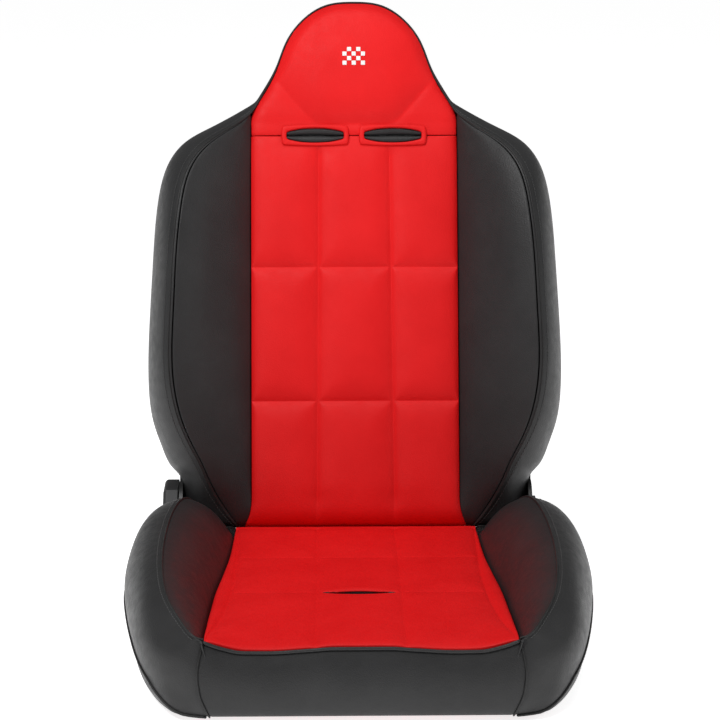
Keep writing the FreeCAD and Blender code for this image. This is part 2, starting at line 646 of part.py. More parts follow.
def back_plate_fixings():
    """Two spacers and two bolts that hold the back plate on the leg."""
    spacers, bolts = [], []
    leg_face = LEG_X + math.sqrt(LEG_R**2 - BOLT_R**2)
    for s in BACK_BOLT_S:
        spacer = rod_x((LEG_X, BACK_PLATE_X[0]), LEG_DEPTH, s, 8.0)
        spacer = spacer.cut(rod_x((LEG_X, BACK_PLATE_X[0]), LEG_DEPTH, s, BOLT_R))
        leg = Part.makeCylinder(LEG_R, 60, Vector(LEG_X, LEG_DEPTH, s - 30))
        spacers.append(in_back(spacer.cut(leg)))
        head = rod_x((BACK_PLATE_X[1], BACK_PLATE_X[1] + 1.6), LEG_DEPTH, s, 7.0)
        shank = rod_x((leg_face, BACK_PLATE_X[1]), LEG_DEPTH, s, BOLT_R)
        bolts.append(in_back(shank.fuse(head).cut(leg).removeSplitter()))
    return spacers, bolts


def base_plate():
    """The fixed plate: a foot along the side tube and a neck up to the recline axis."""
    neck = [
        (206.0, 14.0), (206.0, PIVOT.z - 8), (PIVOT.y - 22, PIVOT.z + 8), (PIVOT.y - 8, PIVOT.z + 13),
        (PIVOT.y + 8, PIVOT.z + 13), (PIVOT.y + 22, PIVOT.z + 8), (PIVOT.y + 38, PIVOT.z - 10),
        (278.0, 34.0), (262.0, 14.0),
    ]
    plate = prism_x(neck, BASE_PLATE_X).fuse(box(BASE_PLATE_X, (128, 212), (14, 32))).removeSplitter()
    plate = plate.cut(rod_x((240, 256), PIVOT.y, PIVOT.z, PIVOT_R))
    plate = plate.cut(rod_x((240, 256), SHAFT.y, SHAFT.z, SHAFT_R + RUNNING_GAP))
    for y, z in COVER_SCREWS:
        plate = plate.cut(rod_x((240, 256), y, z, 2.0))
    return plate


def pivot_pieces():
    """The shoulder bolt that is the recline axis, its bush in the back plate, and its nut."""
    bolt = rod_x((224, BASE_PLATE_X[1] + 8), PIVOT.y, PIVOT.z, PIVOT_R)
    bolt = bolt.fuse(rod_x((219, 224), PIVOT.y, PIVOT.z, 10.0)).removeSplitter()
    bush = rod_x(BACK_PLATE_X, PIVOT.y, PIVOT.z, BUSH_R)
    bush = bush.fuse(rod_x((BACK_PLATE_X[1], BASE_PLATE_X[0] - 0.2), PIVOT.y, PIVOT.z, 12.0))
    bush = bush.cut(rod_x((230, 250), PIVOT.y, PIVOT.z, PIVOT_R + RUNNING_GAP)).removeSplitter()
    nut = hexagon_prism(19, 8, Vector(BASE_PLATE_X[1], PIVOT.y, PIVOT.z), X_AXIS)
    nut = nut.cut(rod_x((240, 270), PIVOT.y, PIVOT.z, PIVOT_R))
    return bolt, bush, nut


def return_spring():
    """A flat clock spring on the inner end of the pivot bolt, which urges the backrest forward."""
    steps = 78
    spine = []
    for k in range(steps + 1):
        turns = SPRING_TURNS * k / steps
        spine.append((turns * 2 * math.pi, SPRING_INNER_R + SPRING_PITCH * turns))
    inside = [(r * math.cos(a), r * math.sin(a)) for a, r in spine]
    outside = [((r + SPRING_T) * math.cos(a), (r + SPRING_T) * math.sin(a)) for a, r in reversed(spine)]
    return prism_x([(PIVOT.y + y, PIVOT.z + z) for y, z in inside + outside], SPRING_X)


def spring_post():
    """The peg on the back plate that the clock spring's outer end pushes on."""
    return rod_x((SPRING_X[0] + 0.5, BACK_PLATE_X[0]), PIVOT.y, PIVOT.z + SPRING_POST_UP, 3.0)


def recliner_cover():
    """The plastic shell over the fixed plate on the lever's side."""
    outline = [
        (206.0, 37.0), (206.0, PIVOT.z + 12), (PIVOT.y - 24, PIVOT.z + 34), (PIVOT.y + 24, PIVOT.z + 34),
        (PIVOT.y + 45, PIVOT.z + 12), (PIVOT.y + 45, PIVOT.z - 20), (PIVOT.y + 35, PIVOT.z - 38),
        (PIVOT.y + 22, 37.0),
    ]
    outer = prism_x(outline, COVER_X)
    face_edges = [e for e in outer.Edges if e.CenterOfMass.x > COVER_X[1] - 1]
    outer = outer.makeFillet(6.0, face_edges)
    inner = [(y + math.copysign(COVER_WALL, PIVOT.y - y), z + math.copysign(COVER_WALL, PIVOT.z - 10 - z))
             for y, z in outline]
    shell = outer.cut(prism_x(inner, (COVER_X[0], COVER_X[1] - COVER_WALL)))
    for y, z in COVER_SCREWS:
        boss = rod_x((BASE_PLATE_X[1], COVER_X[1] - COVER_WALL), y, z, 5.0)
        shell = shell.fuse(boss).cut(rod_x((240, 270), y, z, 2.0))
    plate_room = base_plate().fuse(box((245, 250), (120, 290), (0, 37.5)))
    shell = shell.cut(plate_room).cut(rod_x((240, 290), SHAFT.y, SHAFT.z, SHAFT_R + 0.6))
    return max(shell.Solids, key=lambda s: s.Volume)


def cover_screw(y, z):
    head = rod_x((COVER_X[1], COVER_X[1] + 2.2), y, z, 4.5)
    return head.fuse(rod_x((BASE_PLATE_X[0], COVER_X[1]), y, z, 2.0)).removeSplitter()


def pawl():
    """The toothed pawl on the release shaft."""
    sy, sz = SHAFT.y, SHAFT.z
    blank = rod_x(BACK_PLATE_X, sy, sz, 10.0)
    blank = blank.fuse(prism_x([
        (sy, sz - 9), (sy + 24, sz - 12), (sy + 40, sz - 12), (sy + 40, sz + 6), (sy + 25, sz + 6),
        (sy + 20, sz - 2), (sy, sz - 1),
    ], BACK_PLATE_X))
    blank = blank.fuse(prism_x([(sy - 8, sz), (sy + 3, sz + 8), (sy + 8, sz), (sy, sz - 8)], BACK_PLATE_X))
    gap = toothed_disc(TOOTH_TIP_R + PAWL_GAP, TOOTH_ROOT_R + PAWL_GAP, -104, -76)
    plain = rod_x(BACK_PLATE_X, PIVOT.y, PIVOT.z, TOOTH_TIP_R + PAWL_GAP + 0.3)
    near = box(BACK_PLATE_X, (PIVOT.y - 8.5, PIVOT.y + 8.5), (sz - 15, sz + 30))
    blank = blank.cut(plain.cut(near)).cut(prism_x(gap, BACK_PLATE_X))
    blank = blank.cut(rod_x((230, 250), sy, sz, SHAFT_R))
    return max(blank.Solids, key=lambda s: s.Volume)


def release_shaft():
    """The cross rod that turns both pawls, with the lever on its right-hand end."""
    return rod_x((-LEVER_HUB_X[1], BASE_PLATE_X[1] + 4), SHAFT.y, SHAFT.z, SHAFT_R)


def lever():
    """A cranked flat arm that passes outside the bolster, and its moulded grip."""
    y0, z0 = SHAFT.y, SHAFT.z
    inner, outer = LEVER_HUB_X
    arm_in, arm_out = LEVER_ARM_X
    plan = [
        (inner, y0 + 6), (outer, y0 + 6), (outer, y0 - 10), (arm_out, y0 - 32), (arm_out, LEVER_TIP_Y),
        (arm_in, LEVER_TIP_Y), (arm_in, y0 - 28), (inner + 4, y0 - 8), (inner, y0 - 8),
    ]
    corners = [Vector(-x, y, z0 - 9) for x, y in plan]
    arm = Part.Face(Part.makePolygon(corners + corners[:1])).extrude(Vector(0, 0, 18))
    hub = mirrored(rod_x(LEVER_HUB_X, y0, z0, 13.0))
    arm = arm.fuse(hub).cut(mirrored(rod_x((250, 290), y0, z0, SHAFT_R))).removeSplitter()
    grip = box((-arm_out - 4, -arm_in + 2), (LEVER_TIP_Y - 8, LEVER_TIP_Y + 72), (z0 - 15, z0 + 15))
    grip = grip.makeFillet(4.0, grip.Edges)
    return arm, grip.cut(arm)


def shaft_clip():
    """The ring that keeps the shaft's left-hand end in its plate."""
    ring = rod_x((BASE_PLATE_X[1] + 0.5, BASE_PLATE_X[1] + 2.5), SHAFT.y, SHAFT.z, 8.0)
    return ring.cut(rod_x((240, 270), SHAFT.y, SHAFT.z, SHAFT_R))


def recliner():
    plate, fixed, cover = back_plate(), base_plate(), recliner_cover()
    bolt, bush, nut = pivot_pieces()
    spacers, bolts = back_plate_fixings()
    spring, post, tooth_pawl = return_spring(), spring_post(), pawl()
    for name, sign in SIDES.items():
        keep(f"recliner_back_plate_{name}", on_side(plate, sign))
        keep(f"recliner_base_plate_{name}", on_side(fixed, sign))
        keep(f"release_pawl_{name}", on_side(tooth_pawl, sign))
    both = [RIGHT, LEFT]
    keep("pivot_bolts", *[on_side(bolt, s) for s in both])
    keep("pivot_bushes", *[on_side(bush, s) for s in both])
    keep("pivot_nuts", *[on_side(nut, s) for s in both])
    keep("return_springs", *[on_side(spring, s) for s in both])
    keep("spring_posts", *[on_side(post, s) for s in both])
    keep("back_plate_spacers", *[on_side(p, s) for p in spacers for s in both])
    keep("back_plate_bolts", *[on_side(p, s) for p in bolts for s in both])
    keep("recliner_cover", on_side(cover, RIGHT))
    keep("cover_screws", *[on_side(cover_screw(y, z), RIGHT) for y, z in COVER_SCREWS])
    keep("release_shaft", release_shaft())
    keep("shaft_clip", shaft_clip())
    arm, grip = lever()
    keep("lever_arm", arm)
    keep("lever_grip", grip)


# ---------------------------------------------------------------- build
def build():
    rail = mount_rail()
    for name, sign in SIDES.items():
        keep(f"mount_rail_{name}", on_side(rail, sign))
    keep("rail_nuts", *rail_nuts())
    base_frame()
    base_suspension()
    cushion()
    base_bolsters()
    front_skirt()
    back_frame()
    back_suspension()
    back_pad()
    head_pad()
    back_bolsters()
    rear_panel()
    map_pocket()
    harness_pieces()
    badge()
    recliner()


def export():
    os.makedirs("parts", exist_ok=True)
    for old in os.listdir("parts"):
        os.remove(os.path.join("parts", old))
    for name, shape in NODES.items():
        if not shape.isValid() or any(s.Volume <= 0 for s in shape.Solids):
            print("CHECK", name, "valid", shape.isValid(), [round(s.Volume, 1) for s in shape.Solids])
        shape.exportStep(f"parts/{name}.step")
    print(len(NODES), "nodes")
    print("recline axis", [round(v, 3) for v in PIVOT], "release shaft", [round(v, 3) for v in SHAFT])


build()
export()
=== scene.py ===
"""Looks of a reclining suspension racing seat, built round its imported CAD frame.

Shapes are worked out in millimetres and turned into metres where a mesh is made. Upholstery on the backrest is
drawn in the backrest's own upright frame: x to the occupant's left, q forward of the pad, s up from the cushion.
"""

import math

import bpy
import numpy as np
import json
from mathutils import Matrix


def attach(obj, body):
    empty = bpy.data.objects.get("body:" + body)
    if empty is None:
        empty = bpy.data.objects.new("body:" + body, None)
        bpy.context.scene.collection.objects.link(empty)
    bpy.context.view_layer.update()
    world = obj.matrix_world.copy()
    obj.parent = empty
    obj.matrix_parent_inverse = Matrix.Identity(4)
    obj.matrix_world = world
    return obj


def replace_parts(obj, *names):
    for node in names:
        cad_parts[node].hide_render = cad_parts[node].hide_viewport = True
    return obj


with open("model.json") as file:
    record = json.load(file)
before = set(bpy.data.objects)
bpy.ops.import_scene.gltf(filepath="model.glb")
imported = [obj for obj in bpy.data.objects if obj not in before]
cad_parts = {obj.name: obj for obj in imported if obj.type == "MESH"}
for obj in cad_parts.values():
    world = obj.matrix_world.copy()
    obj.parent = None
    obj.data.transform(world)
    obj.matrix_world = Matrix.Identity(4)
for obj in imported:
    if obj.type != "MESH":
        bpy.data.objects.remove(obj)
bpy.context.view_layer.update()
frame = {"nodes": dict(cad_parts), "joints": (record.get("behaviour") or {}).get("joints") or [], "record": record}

# ---------------------------------------------------------------- places taken from the frame
MM = 1000.0
LEAN = math.radians(19.0)
PIVOT_DEPTH, PIVOT_UP = 28.0, 32.0
joints = {joint["name"]: joint for joint in frame["joints"]}
PIVOT = np.array(joints["recline"]["pos_m"]) * MM
UP = np.array([0.0, math.sin(LEAN), math.cos(LEAN)])
FORWARD = np.array([0.0, -math.cos(LEAN), math.sin(LEAN)])
JUNCTION = PIVOT - UP * PIVOT_UP + FORWARD * PIVOT_DEPTH
JUNCTION[0] = 0.0

# the backrest
INSERT_X = 143.5
FOOT_R = 28.5
REAR_FOOT_R = 27.5
SLOT_S, SLOT_IN, SLOT_OUT = 548.0, 14.0, 94.0
SLOT_HALF, SLOT_END_HALF = 10.4, 4.6
BACK_SEAMS = (178.0, 364.0)
REAR_Q = -57.0
SIDE_Q = -20.0

# the cushion
PAD_FRONT_Y, PAD_FRONT_Z, PAD_REAR_Y = -270.0, 93.0, 222.0
SKIRT_Y, HEM_Z = -289.0, 8.0
STRAP_Y, STRAP_X = -67.0, 44.0
CUSHION_TAIL_R = 31.0
APRON_R = 31.5
PAD_SEAMS = (83.0, -66.0)


# ---------------------------------------------------------------- numbers and curves
def smooth(table, at):
    """A monotone cubic through (place, value) rows, evaluated at other places."""
    rows = np.array(sorted(table), float)
    x, y = rows[:, 0], rows[:, 1]
    width, slope = np.diff(x), np.diff(y) / np.diff(x)
    tangent = np.zeros_like(y)
    tangent[0], tangent[-1] = slope[0], slope[-1]
    same = slope[:-1] * slope[1:] > 0
    mean = 2 * slope[:-1] * slope[1:] / np.where(same, slope[:-1] + slope[1:], 1)
    tangent[1:-1] = np.where(same, mean, 0)
    at = np.clip(np.asarray(at, float), x[0], x[-1])
    k = np.clip(np.searchsorted(x, at, side="right") - 1, 0, len(x) - 2)
    t = (at - x[k]) / width[k]
    return (y[k] * (1 + 2 * t) * (1 - t) ** 2 + tangent[k] * width[k] * t * (1 - t) ** 2
            + y[k + 1] * t * t * (3 - 2 * t) + tangent[k + 1] * width[k] * t * t * (t - 1))


def chord_shares(points):
    steps = np.maximum(np.linalg.norm(np.diff(np.asarray(points, float), axis=0), axis=-1), 1e-6)
    return np.concatenate([[0], np.cumsum(steps)]) / steps.sum()


def spline(points, shares, at):
    """A natural cubic spline through points that stand at the given shares, evaluated at other shares."""
    p = np.asarray(points, float)
    flat = p.reshape(len(p), -1)
    h = np.diff(shares)
    n = len(p)
    left, right = np.eye(n), np.zeros_like(flat)
    for k in range(1, n - 1):
        left[k, k - 1:k + 2] = h[k - 1], 2 * (h[k - 1] + h[k]), h[k]
        right[k] = 6 * ((flat[k + 1] - flat[k]) / h[k] - (flat[k] - flat[k - 1]) / h[k - 1])
    m = np.linalg.solve(left, right)
    at = np.clip(np.asarray(at, float), 0, 1)
    k = np.clip(np.searchsorted(shares, at, side="right") - 1, 0, n - 2)
    a, b = (shares[k + 1] - at)[:, None], (at - shares[k])[:, None]
    w = h[k][:, None]
    value = (m[k] * a ** 3 + m[k + 1] * b ** 3) / (6 * w)
    value += (flat[k] / w - m[k] * w / 6) * a + (flat[k + 1] / w - m[k + 1] * w / 6) * b
    return value.reshape((len(at),) + p.shape[1:])


def loft(stations, rows, columns, shares):
    """A grid through stations of points: smooth across each station and along the stations."""
    across = np.linspace(0, 1, columns) if np.isscalar(columns) else columns
    along = np.linspace(0, 1, rows) if np.isscalar(rows) else rows
    lines = [spline(s, chord_shares(s) if np.ptp(np.asarray(s, float), axis=0).max() > 1 else
                    np.linspace(0, 1, len(s)), across) for s in stations]
    return spline(np.array(lines), shares, along)


def graded(start, end, step, seams=(), near=(0.0, 1.0, 2.4, 4.6, 8.0)):
    """Places from start to end, about a step apart and closer beside each seam."""
    places = set(np.round(np.linspace(start, end, max(2, round((end - start) / step) + 1)), 3))
    marks = {round(m + sign * d, 3) for m in seams for d in near for sign in (-1, 1)}
    keep = [p for p in places if all(abs(p - m) > 0.45 * step or p in (start, end) for m in marks)]
    inside = [m for m in marks if start + 0.8 < m < end - 0.8]
    return np.array(sorted({round(start, 3), round(end, 3), *keep, *inside}))


def to_row(local):
    """Points (x, q, s) of the backrest's frame in the row frame, in millimetres."""
    local = np.asarray(local, float)
    across = np.zeros(local.shape)
    across[..., 0] = local[..., 0]
    return JUNCTION + across + local[..., 1:2] * FORWARD + local[..., 2:3] * UP


def flipped(points):
    """The same points on the other side of the seat."""
    return np.asarray(points) * np.array([-1.0, 1.0, 1.0])


def normals_of(grid):
    down, over = np.gradient(grid, axis=0), np.gradient(grid, axis=1)
    normal = np.cross(over, down)
    return normal / np.maximum(np.linalg.norm(normal, axis=-1, keepdims=True), 1e-9)


def hash_noise(points, size, seed):
    """Smooth value noise from 0 to 1 over points in millimetres, with features of about a size."""
    p = np.asarray(points, float) / size + seed * 17.13
    cell = np.floor(p).astype(np.int64)
    f = p - cell
    f = f * f * (3 - 2 * f)
    total = np.zeros(p.shape[:-1])
    for corner in np.ndindex(2, 2, 2):
        c = cell + np.array(corner)
        h = (c[..., 0] * 73856093) ^ (c[..., 1] * 19349663) ^ (c[..., 2] * 83492791)
        value = ((h * 2654435761) % 4294967296) / 4294967296
        weight = np.ones(p.shape[:-1])
        for axis in range(3):
            weight = weight * (f[..., axis] if corner[axis] else 1 - f[..., axis])
        total = total + weight * value
    return total


# ---------------------------------------------------------------- materials
def new_material(name):
    material = bpy.data.materials.new(name)
    material.use_nodes = True
    nodes, links = material.node_tree.nodes, material.node_tree.links
    return material, nodes, links, nodes["Principled BSDF"]


def texture(nodes, links, kind, scale, **settings):
    """A texture node that reads object coordinates, in metres."""
    coordinates = nodes.new("ShaderNodeTexCoord")
    node = nodes.new(kind)
    node.inputs["Scale"].default_value = scale
    for name, value in settings.items():
        node.inputs[name].default_value = value
    links.new(coordinates.outputs["Object"], node.inputs["Vector"])
    return node


def ramp(nodes, links, source, low, high, start=0.3, end=0.7):
    node = nodes.new("ShaderNodeMapRange")
    node.inputs["From Min"].default_value, node.inputs["From Max"].default_value = start, end
    node.inputs["To Min"].default_value, node.inputs["To Max"].default_value = low, high
    links.new(source, node.inputs["Value"])
    return node.outputs["Result"]


def mixed_colour(nodes, links, factor, first, second):
    node = nodes.new("ShaderNodeMix")
    node.data_type = "RGBA"
    node.inputs["A"].default_value, node.inputs["B"].default_value = (*first, 1), (*second, 1)
    links.new(factor, node.inputs["Factor"])
    return node.outputs["Result"]


def bump(nodes, links, height, distance, strength, before=None):
    node = nodes.new("ShaderNodeBump")
    node.inputs["Distance"].default_value = distance
    node.inputs["Strength"].default_value = strength
    links.new(height, node.inputs["Height"])
    if before is not None:
        links.new(before, node.inputs["Normal"])
    return node.outputs["Normal"]


def vinyl(name, dark, light, roughness, grain=0.5, gloss=0.26):
    """Coated vinyl: pebble grain, fine pores, soft unevenness and a satin sheen that varies."""
    material, nodes, links, shader = new_material(name)
    broad = texture(nodes, links, "ShaderNodeTexNoise", 14.0, Detail=3.0)
    cloud = texture(nodes, links, "ShaderNodeTexNoise", 90.0, Detail=4.0)
    pebble = texture(nodes, links, "ShaderNodeTexVoronoi", 620.0)
    pore = texture(nodes, links, "ShaderNodeTexNoise", 2400.0, Detail=2.0)
    links.new(mixed_colour(nodes, links, ramp(nodes, links, broad.outputs["Fac"], 0, 1), dark, light),
              shader.inputs["Base Color"])
    links.new(ramp(nodes, links, cloud.outputs["Fac"], roughness - 0.05, roughness + 0.07),
              shader.inputs["Roughness"])
    soft = bump(nodes, links, broad.outputs["Fac"], 0.004, 0.12)
    grained = bump(nodes, links, pebble.outputs["Distance"], 0.0004, grain, soft)
    links.new(bump(nodes, links, pore.outputs["Fac"], 0.0001, 0.35, grained), shader.inputs["Normal"])
    shader.inputs["Specular IOR Level"].default_value = gloss
    return material


def woven(name, first, second, pitch, roughness=0.85):
    """Plain-weave cloth: two sets of threads that cross, in object coordinates."""
    material, nodes, links, shader = new_material(name)
    warp = texture(nodes, links, "ShaderNodeTexWave", MM / pitch / 6.28)
    warp.bands_direction = "X"
    weft = texture(nodes, links, "ShaderNodeTexWave", MM / pitch / 6.28)
    weft.bands_direction = "Z"
    cross = nodes.new("ShaderNodeMath")
    cross.operation = "MULTIPLY"
    links.new(warp.outputs["Fac"], cross.inputs[0])
    links.new(weft.outputs["Fac"], cross.inputs[1])
    fuzz = texture(nodes, links, "ShaderNodeTexNoise", 60.0, Detail=5.0)
    links.new(mixed_colour(nodes, links, fuzz.outputs["Fac"], first, second), shader.inputs["Base Color"])
    links.new(bump(nodes, links, cross.outputs["Value"], 0.0004, 0.7), shader.inputs["Normal"])
    shader.inputs["Roughness"].default_value = roughness
    shader.inputs["Sheen Weight"].default_value = 0.2
    return material


def plastic(name, colour, lighter, roughness):
    """Moulded plastic with a fine spark-eroded texture and rubbed patches."""
    material, nodes, links, shader = new_material(name)
    wear = texture(nodes, links, "ShaderNodeTexNoise", 35.0, Detail=6.0)
    spark = texture(nodes, links, "ShaderNodeTexNoise", 1500.0, Detail=2.0)
    links.new(mixed_colour(nodes, links, ramp(nodes, links, wear.outputs["Fac"], 0, 1, 0.45, 0.75), colour, lighter),
              shader.inputs["Base Color"])
    links.new(ramp(nodes, links, wear.outputs["Fac"], roughness, roughness + 0.12), shader.inputs["Roughness"])
    links.new(bump(nodes, links, spark.outputs["Fac"], 0.0002, 0.5), shader.inputs["Normal"])
    return material


def metal(name, colour, lighter, roughness, metallic=1.0, speckle=160.0):
    """Plated or painted steel, with speckle, faint scratches and uneven gloss."""
    material, nodes, links, shader = new_material(name)
    spots = texture(nodes, links, "ShaderNodeTexNoise", speckle, Detail=6.0)
    lines = texture(nodes, links, "ShaderNodeTexNoise", 900.0, Detail=3.0, Distortion=1.5)
    links.new(mixed_colour(nodes, links, ramp(nodes, links, spots.outputs["Fac"], 0, 1, 0.4, 0.72), colour, lighter),
              shader.inputs["Base Color"])
    links.new(ramp(nodes, links, lines.outputs["Fac"], roughness - 0.06, roughness + 0.12),
              shader.inputs["Roughness"])
    links.new(bump(nodes, links, spots.outputs["Fac"], 0.0002, 0.3), shader.inputs["Normal"])
    shader.inputs["Metallic"].default_value = metallic
    return material


MATERIALS = {
    "black_vinyl": vinyl("black_vinyl", (0.020, 0.020, 0.0205), (0.026, 0.026, 0.0265), 0.44),
    "trim_black": vinyl("trim_black", (0.015, 0.015, 0.015), (0.022, 0.022, 0.022), 0.5),
    "panel_vinyl": vinyl("panel_vinyl", (0.018, 0.018, 0.0185), (0.025, 0.025, 0.0255), 0.5, 0.7),
    "red_vinyl": vinyl("red_vinyl", (0.66, 0.005, 0.006), (0.72, 0.008, 0.009), 0.55, 0.4, 0.2),
    "liner_fabric": woven("liner_fabric", (0.02, 0.02, 0.02), (0.035, 0.035, 0.035), 1.6),
    "shock_cord": woven("shock_cord", (0.02, 0.02, 0.02), (0.05, 0.05, 0.05), 0.9),
    "felt": woven("felt", (0.12, 0.12, 0.125), (0.2, 0.2, 0.21), 2.2, 0.95),
    "thread_black": woven("thread_black", (0.03, 0.03, 0.03), (0.06, 0.06, 0.06), 0.4),
    "thread_red": woven("thread_red", (0.55, 0.012, 0.012), (0.7, 0.02, 0.02), 0.4),
    "patch_white": woven("patch_white", (0.78, 0.78, 0.77), (0.85, 0.85, 0.84), 0.8),
    "cover_plastic": plastic("cover_plastic", (0.022, 0.022, 0.023), (0.04, 0.04, 0.042), 0.5),
    "grip_rubber": plastic("grip_rubber", (0.015, 0.015, 0.015), (0.03, 0.03, 0.03), 0.7),
    "frame_paint": metal("frame_paint", (0.018, 0.018, 0.018), (0.03, 0.03, 0.03), 0.38, 0.0),
    "zinc_steel": metal("zinc_steel", (0.50, 0.50, 0.48), (0.66, 0.65, 0.62), 0.32),
    "spring_steel": metal("spring_steel", (0.18, 0.19, 0.22), (0.28, 0.29, 0.32), 0.3),
    "bronze": metal("bronze", (0.42, 0.25, 0.10), (0.55, 0.36, 0.16), 0.35),
    "eyelet_brass": metal("eyelet_brass", (0.60, 0.45, 0.20), (0.72, 0.58, 0.30), 0.28),
}


# ---------------------------------------------------------------- meshes
def piece(name, vertices, faces, body, material, smooth_faces=True):
    """A mesh in the row frame, from millimetres, that rides on a body."""
    mesh = bpy.data.meshes.new(name)
    mesh.from_pydata((np.asarray(vertices, float) / MM).tolist(), [], faces)
    mesh.validate()
    mesh.polygons.foreach_set("use_smooth", [smooth_faces] * len(mesh.polygons))
    mesh.materials.append(MATERIALS[material])
    made = bpy.data.objects.new(name, mesh)
    bpy.context.scene.collection.objects.link(made)
    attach(made, body)
    return made


def grid_faces(rows, columns, hidden=None, closed=False):
    wide = columns if closed else columns - 1
    faces = []
    for i in range(rows - 1):
        for j in range(wide):
            if hidden is None or not hidden[i, j]:
                k = (j + 1) % columns
                faces.append((i * columns + j, i * columns + k, (i + 1) * columns + k, (i + 1) * columns + j))
    return faces


def panel(name, grid, body, material, hint, hidden=None, thickness=2.2, levels=1):
    """An upholstery panel: a smooth sheet with a real thickness, its outside facing the hint."""
    mean = normals_of(grid).reshape(-1, 3).mean(axis=0)
    if np.dot(mean, hint) > 0:
        grid = grid[:, ::-1]
        hidden = None if hidden is None else hidden[:, ::-1]
    rows, columns = grid.shape[:2]
    faces = [face[::-1] for face in grid_faces(rows, columns, hidden)]
    made = piece(name, grid.reshape(-1, 3), faces, body, material)
    remove_loose(made)
    shell = made.modifiers.new("thickness", "SOLIDIFY")
    shell.thickness, shell.offset = thickness / MM, -1.0
    if levels:
        subdivide(made, levels)
    return made


def subdivide(made, levels):
    sub = made.modifiers.new("smooth", "SUBSURF")
    sub.levels = sub.render_levels = levels
    return sub


def remove_loose(made):
    used = {v for polygon in made.data.polygons for v in polygon.vertices}
    if len(used) == len(made.data.vertices):
        return
    mesh = made.data
    order = sorted(used)
    place = {old: new for new, old in enumerate(order)}
    coordinates = [mesh.vertices[v].co[:] for v in order]
    faces = [[place[v] for v in polygon.vertices] for polygon in mesh.polygons]
    fresh = bpy.data.meshes.new(mesh.name)
    fresh.from_pydata(coordinates, [], faces)
    fresh.polygons.foreach_set("use_smooth", [True] * len(fresh.polygons))
    for material in mesh.materials:
        fresh.materials.append(material)
    made.data = fresh
    bpy.data.meshes.remove(mesh)


def inflate(name, grid, pinned, pressure, limit, hint, frames=16):
    """Cloth simulation of a stuffed panel: it swells from its pinned seams, by no more than a limit."""
    rows, columns = grid.shape[:2]
    mean = normals_of(grid).reshape(-1, 3).mean(axis=0)
    faces = grid_faces(rows, columns)
    if np.dot(mean, hint) < 0:
        faces = [face[::-1] for face in faces]
    mesh = bpy.data.meshes.new(name + "_cloth")
    mesh.from_pydata((grid.reshape(-1, 3) / MM).tolist(), [], faces)
    cloth = bpy.data.objects.new(name + "_cloth", mesh)
    bpy.context.scene.collection.objects.link(cloth)
    group = cloth.vertex_groups.new(name="sewn")
    group.add([int(v) for v in np.flatnonzero(pinned.reshape(-1))], 1.0, "REPLACE")
    modifier = cloth.modifiers.new("cloth", "CLOTH")
    settings = modifier.settings
    settings.vertex_group_mass = "sewn"
    settings.quality = 6
    settings.mass = 0.3
    settings.tension_stiffness = settings.compression_stiffness = 20.0
    settings.shear_stiffness = 8.0
    settings.bending_stiffness = 1.5
    settings.use_pressure = True
    settings.uniform_pressure_force = pressure
    settings.effector_weights.gravity = 0.0
    modifier.collision_settings.use_collision = False
    modifier.point_cache.frame_start, modifier.point_cache.frame_end = 1, frames
    scene = bpy.context.scene
    for number in range(1, frames + 1):
        scene.frame_set(number)
    shaped = cloth.evaluated_get(bpy.context.evaluated_depsgraph_get()).data
    found = np.zeros(len(shaped.vertices) * 3)
    shaped.vertices.foreach_get("co", found)
    moved = found.reshape(grid.shape) * MM - grid
    size = np.linalg.norm(moved, axis=-1, keepdims=True)
    moved = moved * np.minimum(1, limit / np.maximum(size, 1e-9))
    bpy.data.objects.remove(cloth)
    scene.frame_set(1)
    return grid + moved


def tube(name, points, radius, body, material, sides=10, closed=False):
    """A welt, cord or rod that follows points, with rounded ends."""
    p = np.asarray(points, float)
    tangent = np.gradient(p, axis=0)
    if closed:
        tangent = np.roll(p, -1, axis=0) - np.roll(p, 1, axis=0)
    tangent /= np.linalg.norm(tangent, axis=1, keepdims=True)
    side = np.cross(tangent[0], [0.3, 0.5, 0.8])
    frames = []
    for t in tangent:
        side = side - t * np.dot(side, t)
        side = side / np.linalg.norm(side)
        frames.append((side, np.cross(t, side)))
    angles = np.linspace(0, 2 * math.pi, sides, endpoint=False)
    rings = [q + radius * (np.outer(np.cos(angles), a) + np.outer(np.sin(angles), b))
             for q, (a, b) in zip(p, frames)]
    vertices = np.concatenate(rings)
    faces = grid_faces(len(p), sides, closed=True)
    if closed:
        last = (len(p) - 1) * sides
        faces += [(last + j, last + (j + 1) % sides, (j + 1) % sides, j) for j in range(sides)]
    else:
        ends = [p[0] - tangent[0] * radius * 0.6, p[-1] + tangent[-1] * radius * 0.6]
        count = len(vertices)
        vertices = np.vstack([vertices, ends])
        faces += [(count, (j + 1) % sides, j) for j in range(sides)]
        last = (len(p) - 1) * sides
        faces += [(count + 1, last + j, last + (j + 1) % sides) for j in range(sides)]
    return piece(name, vertices, faces, body, material)


def even(points, spacing, extra=None):
    """The same line with evenly spaced points, and the same for values that go with them."""
    p = np.asarray(points, float)
    shares = chord_shares(p)
    length = np.linalg.norm(np.diff(p, axis=0), axis=1).sum()
    at = np.linspace(0, 1, max(4, int(round(length / spacing)) + 1))
    line = np.stack([np.interp(at, shares, p[:, k]) for k in range(3)], axis=1)
    if extra is None:
        return line
    return line, np.stack([np.interp(at, shares, np.asarray(extra)[:, k]) for k in range(3)], axis=1)


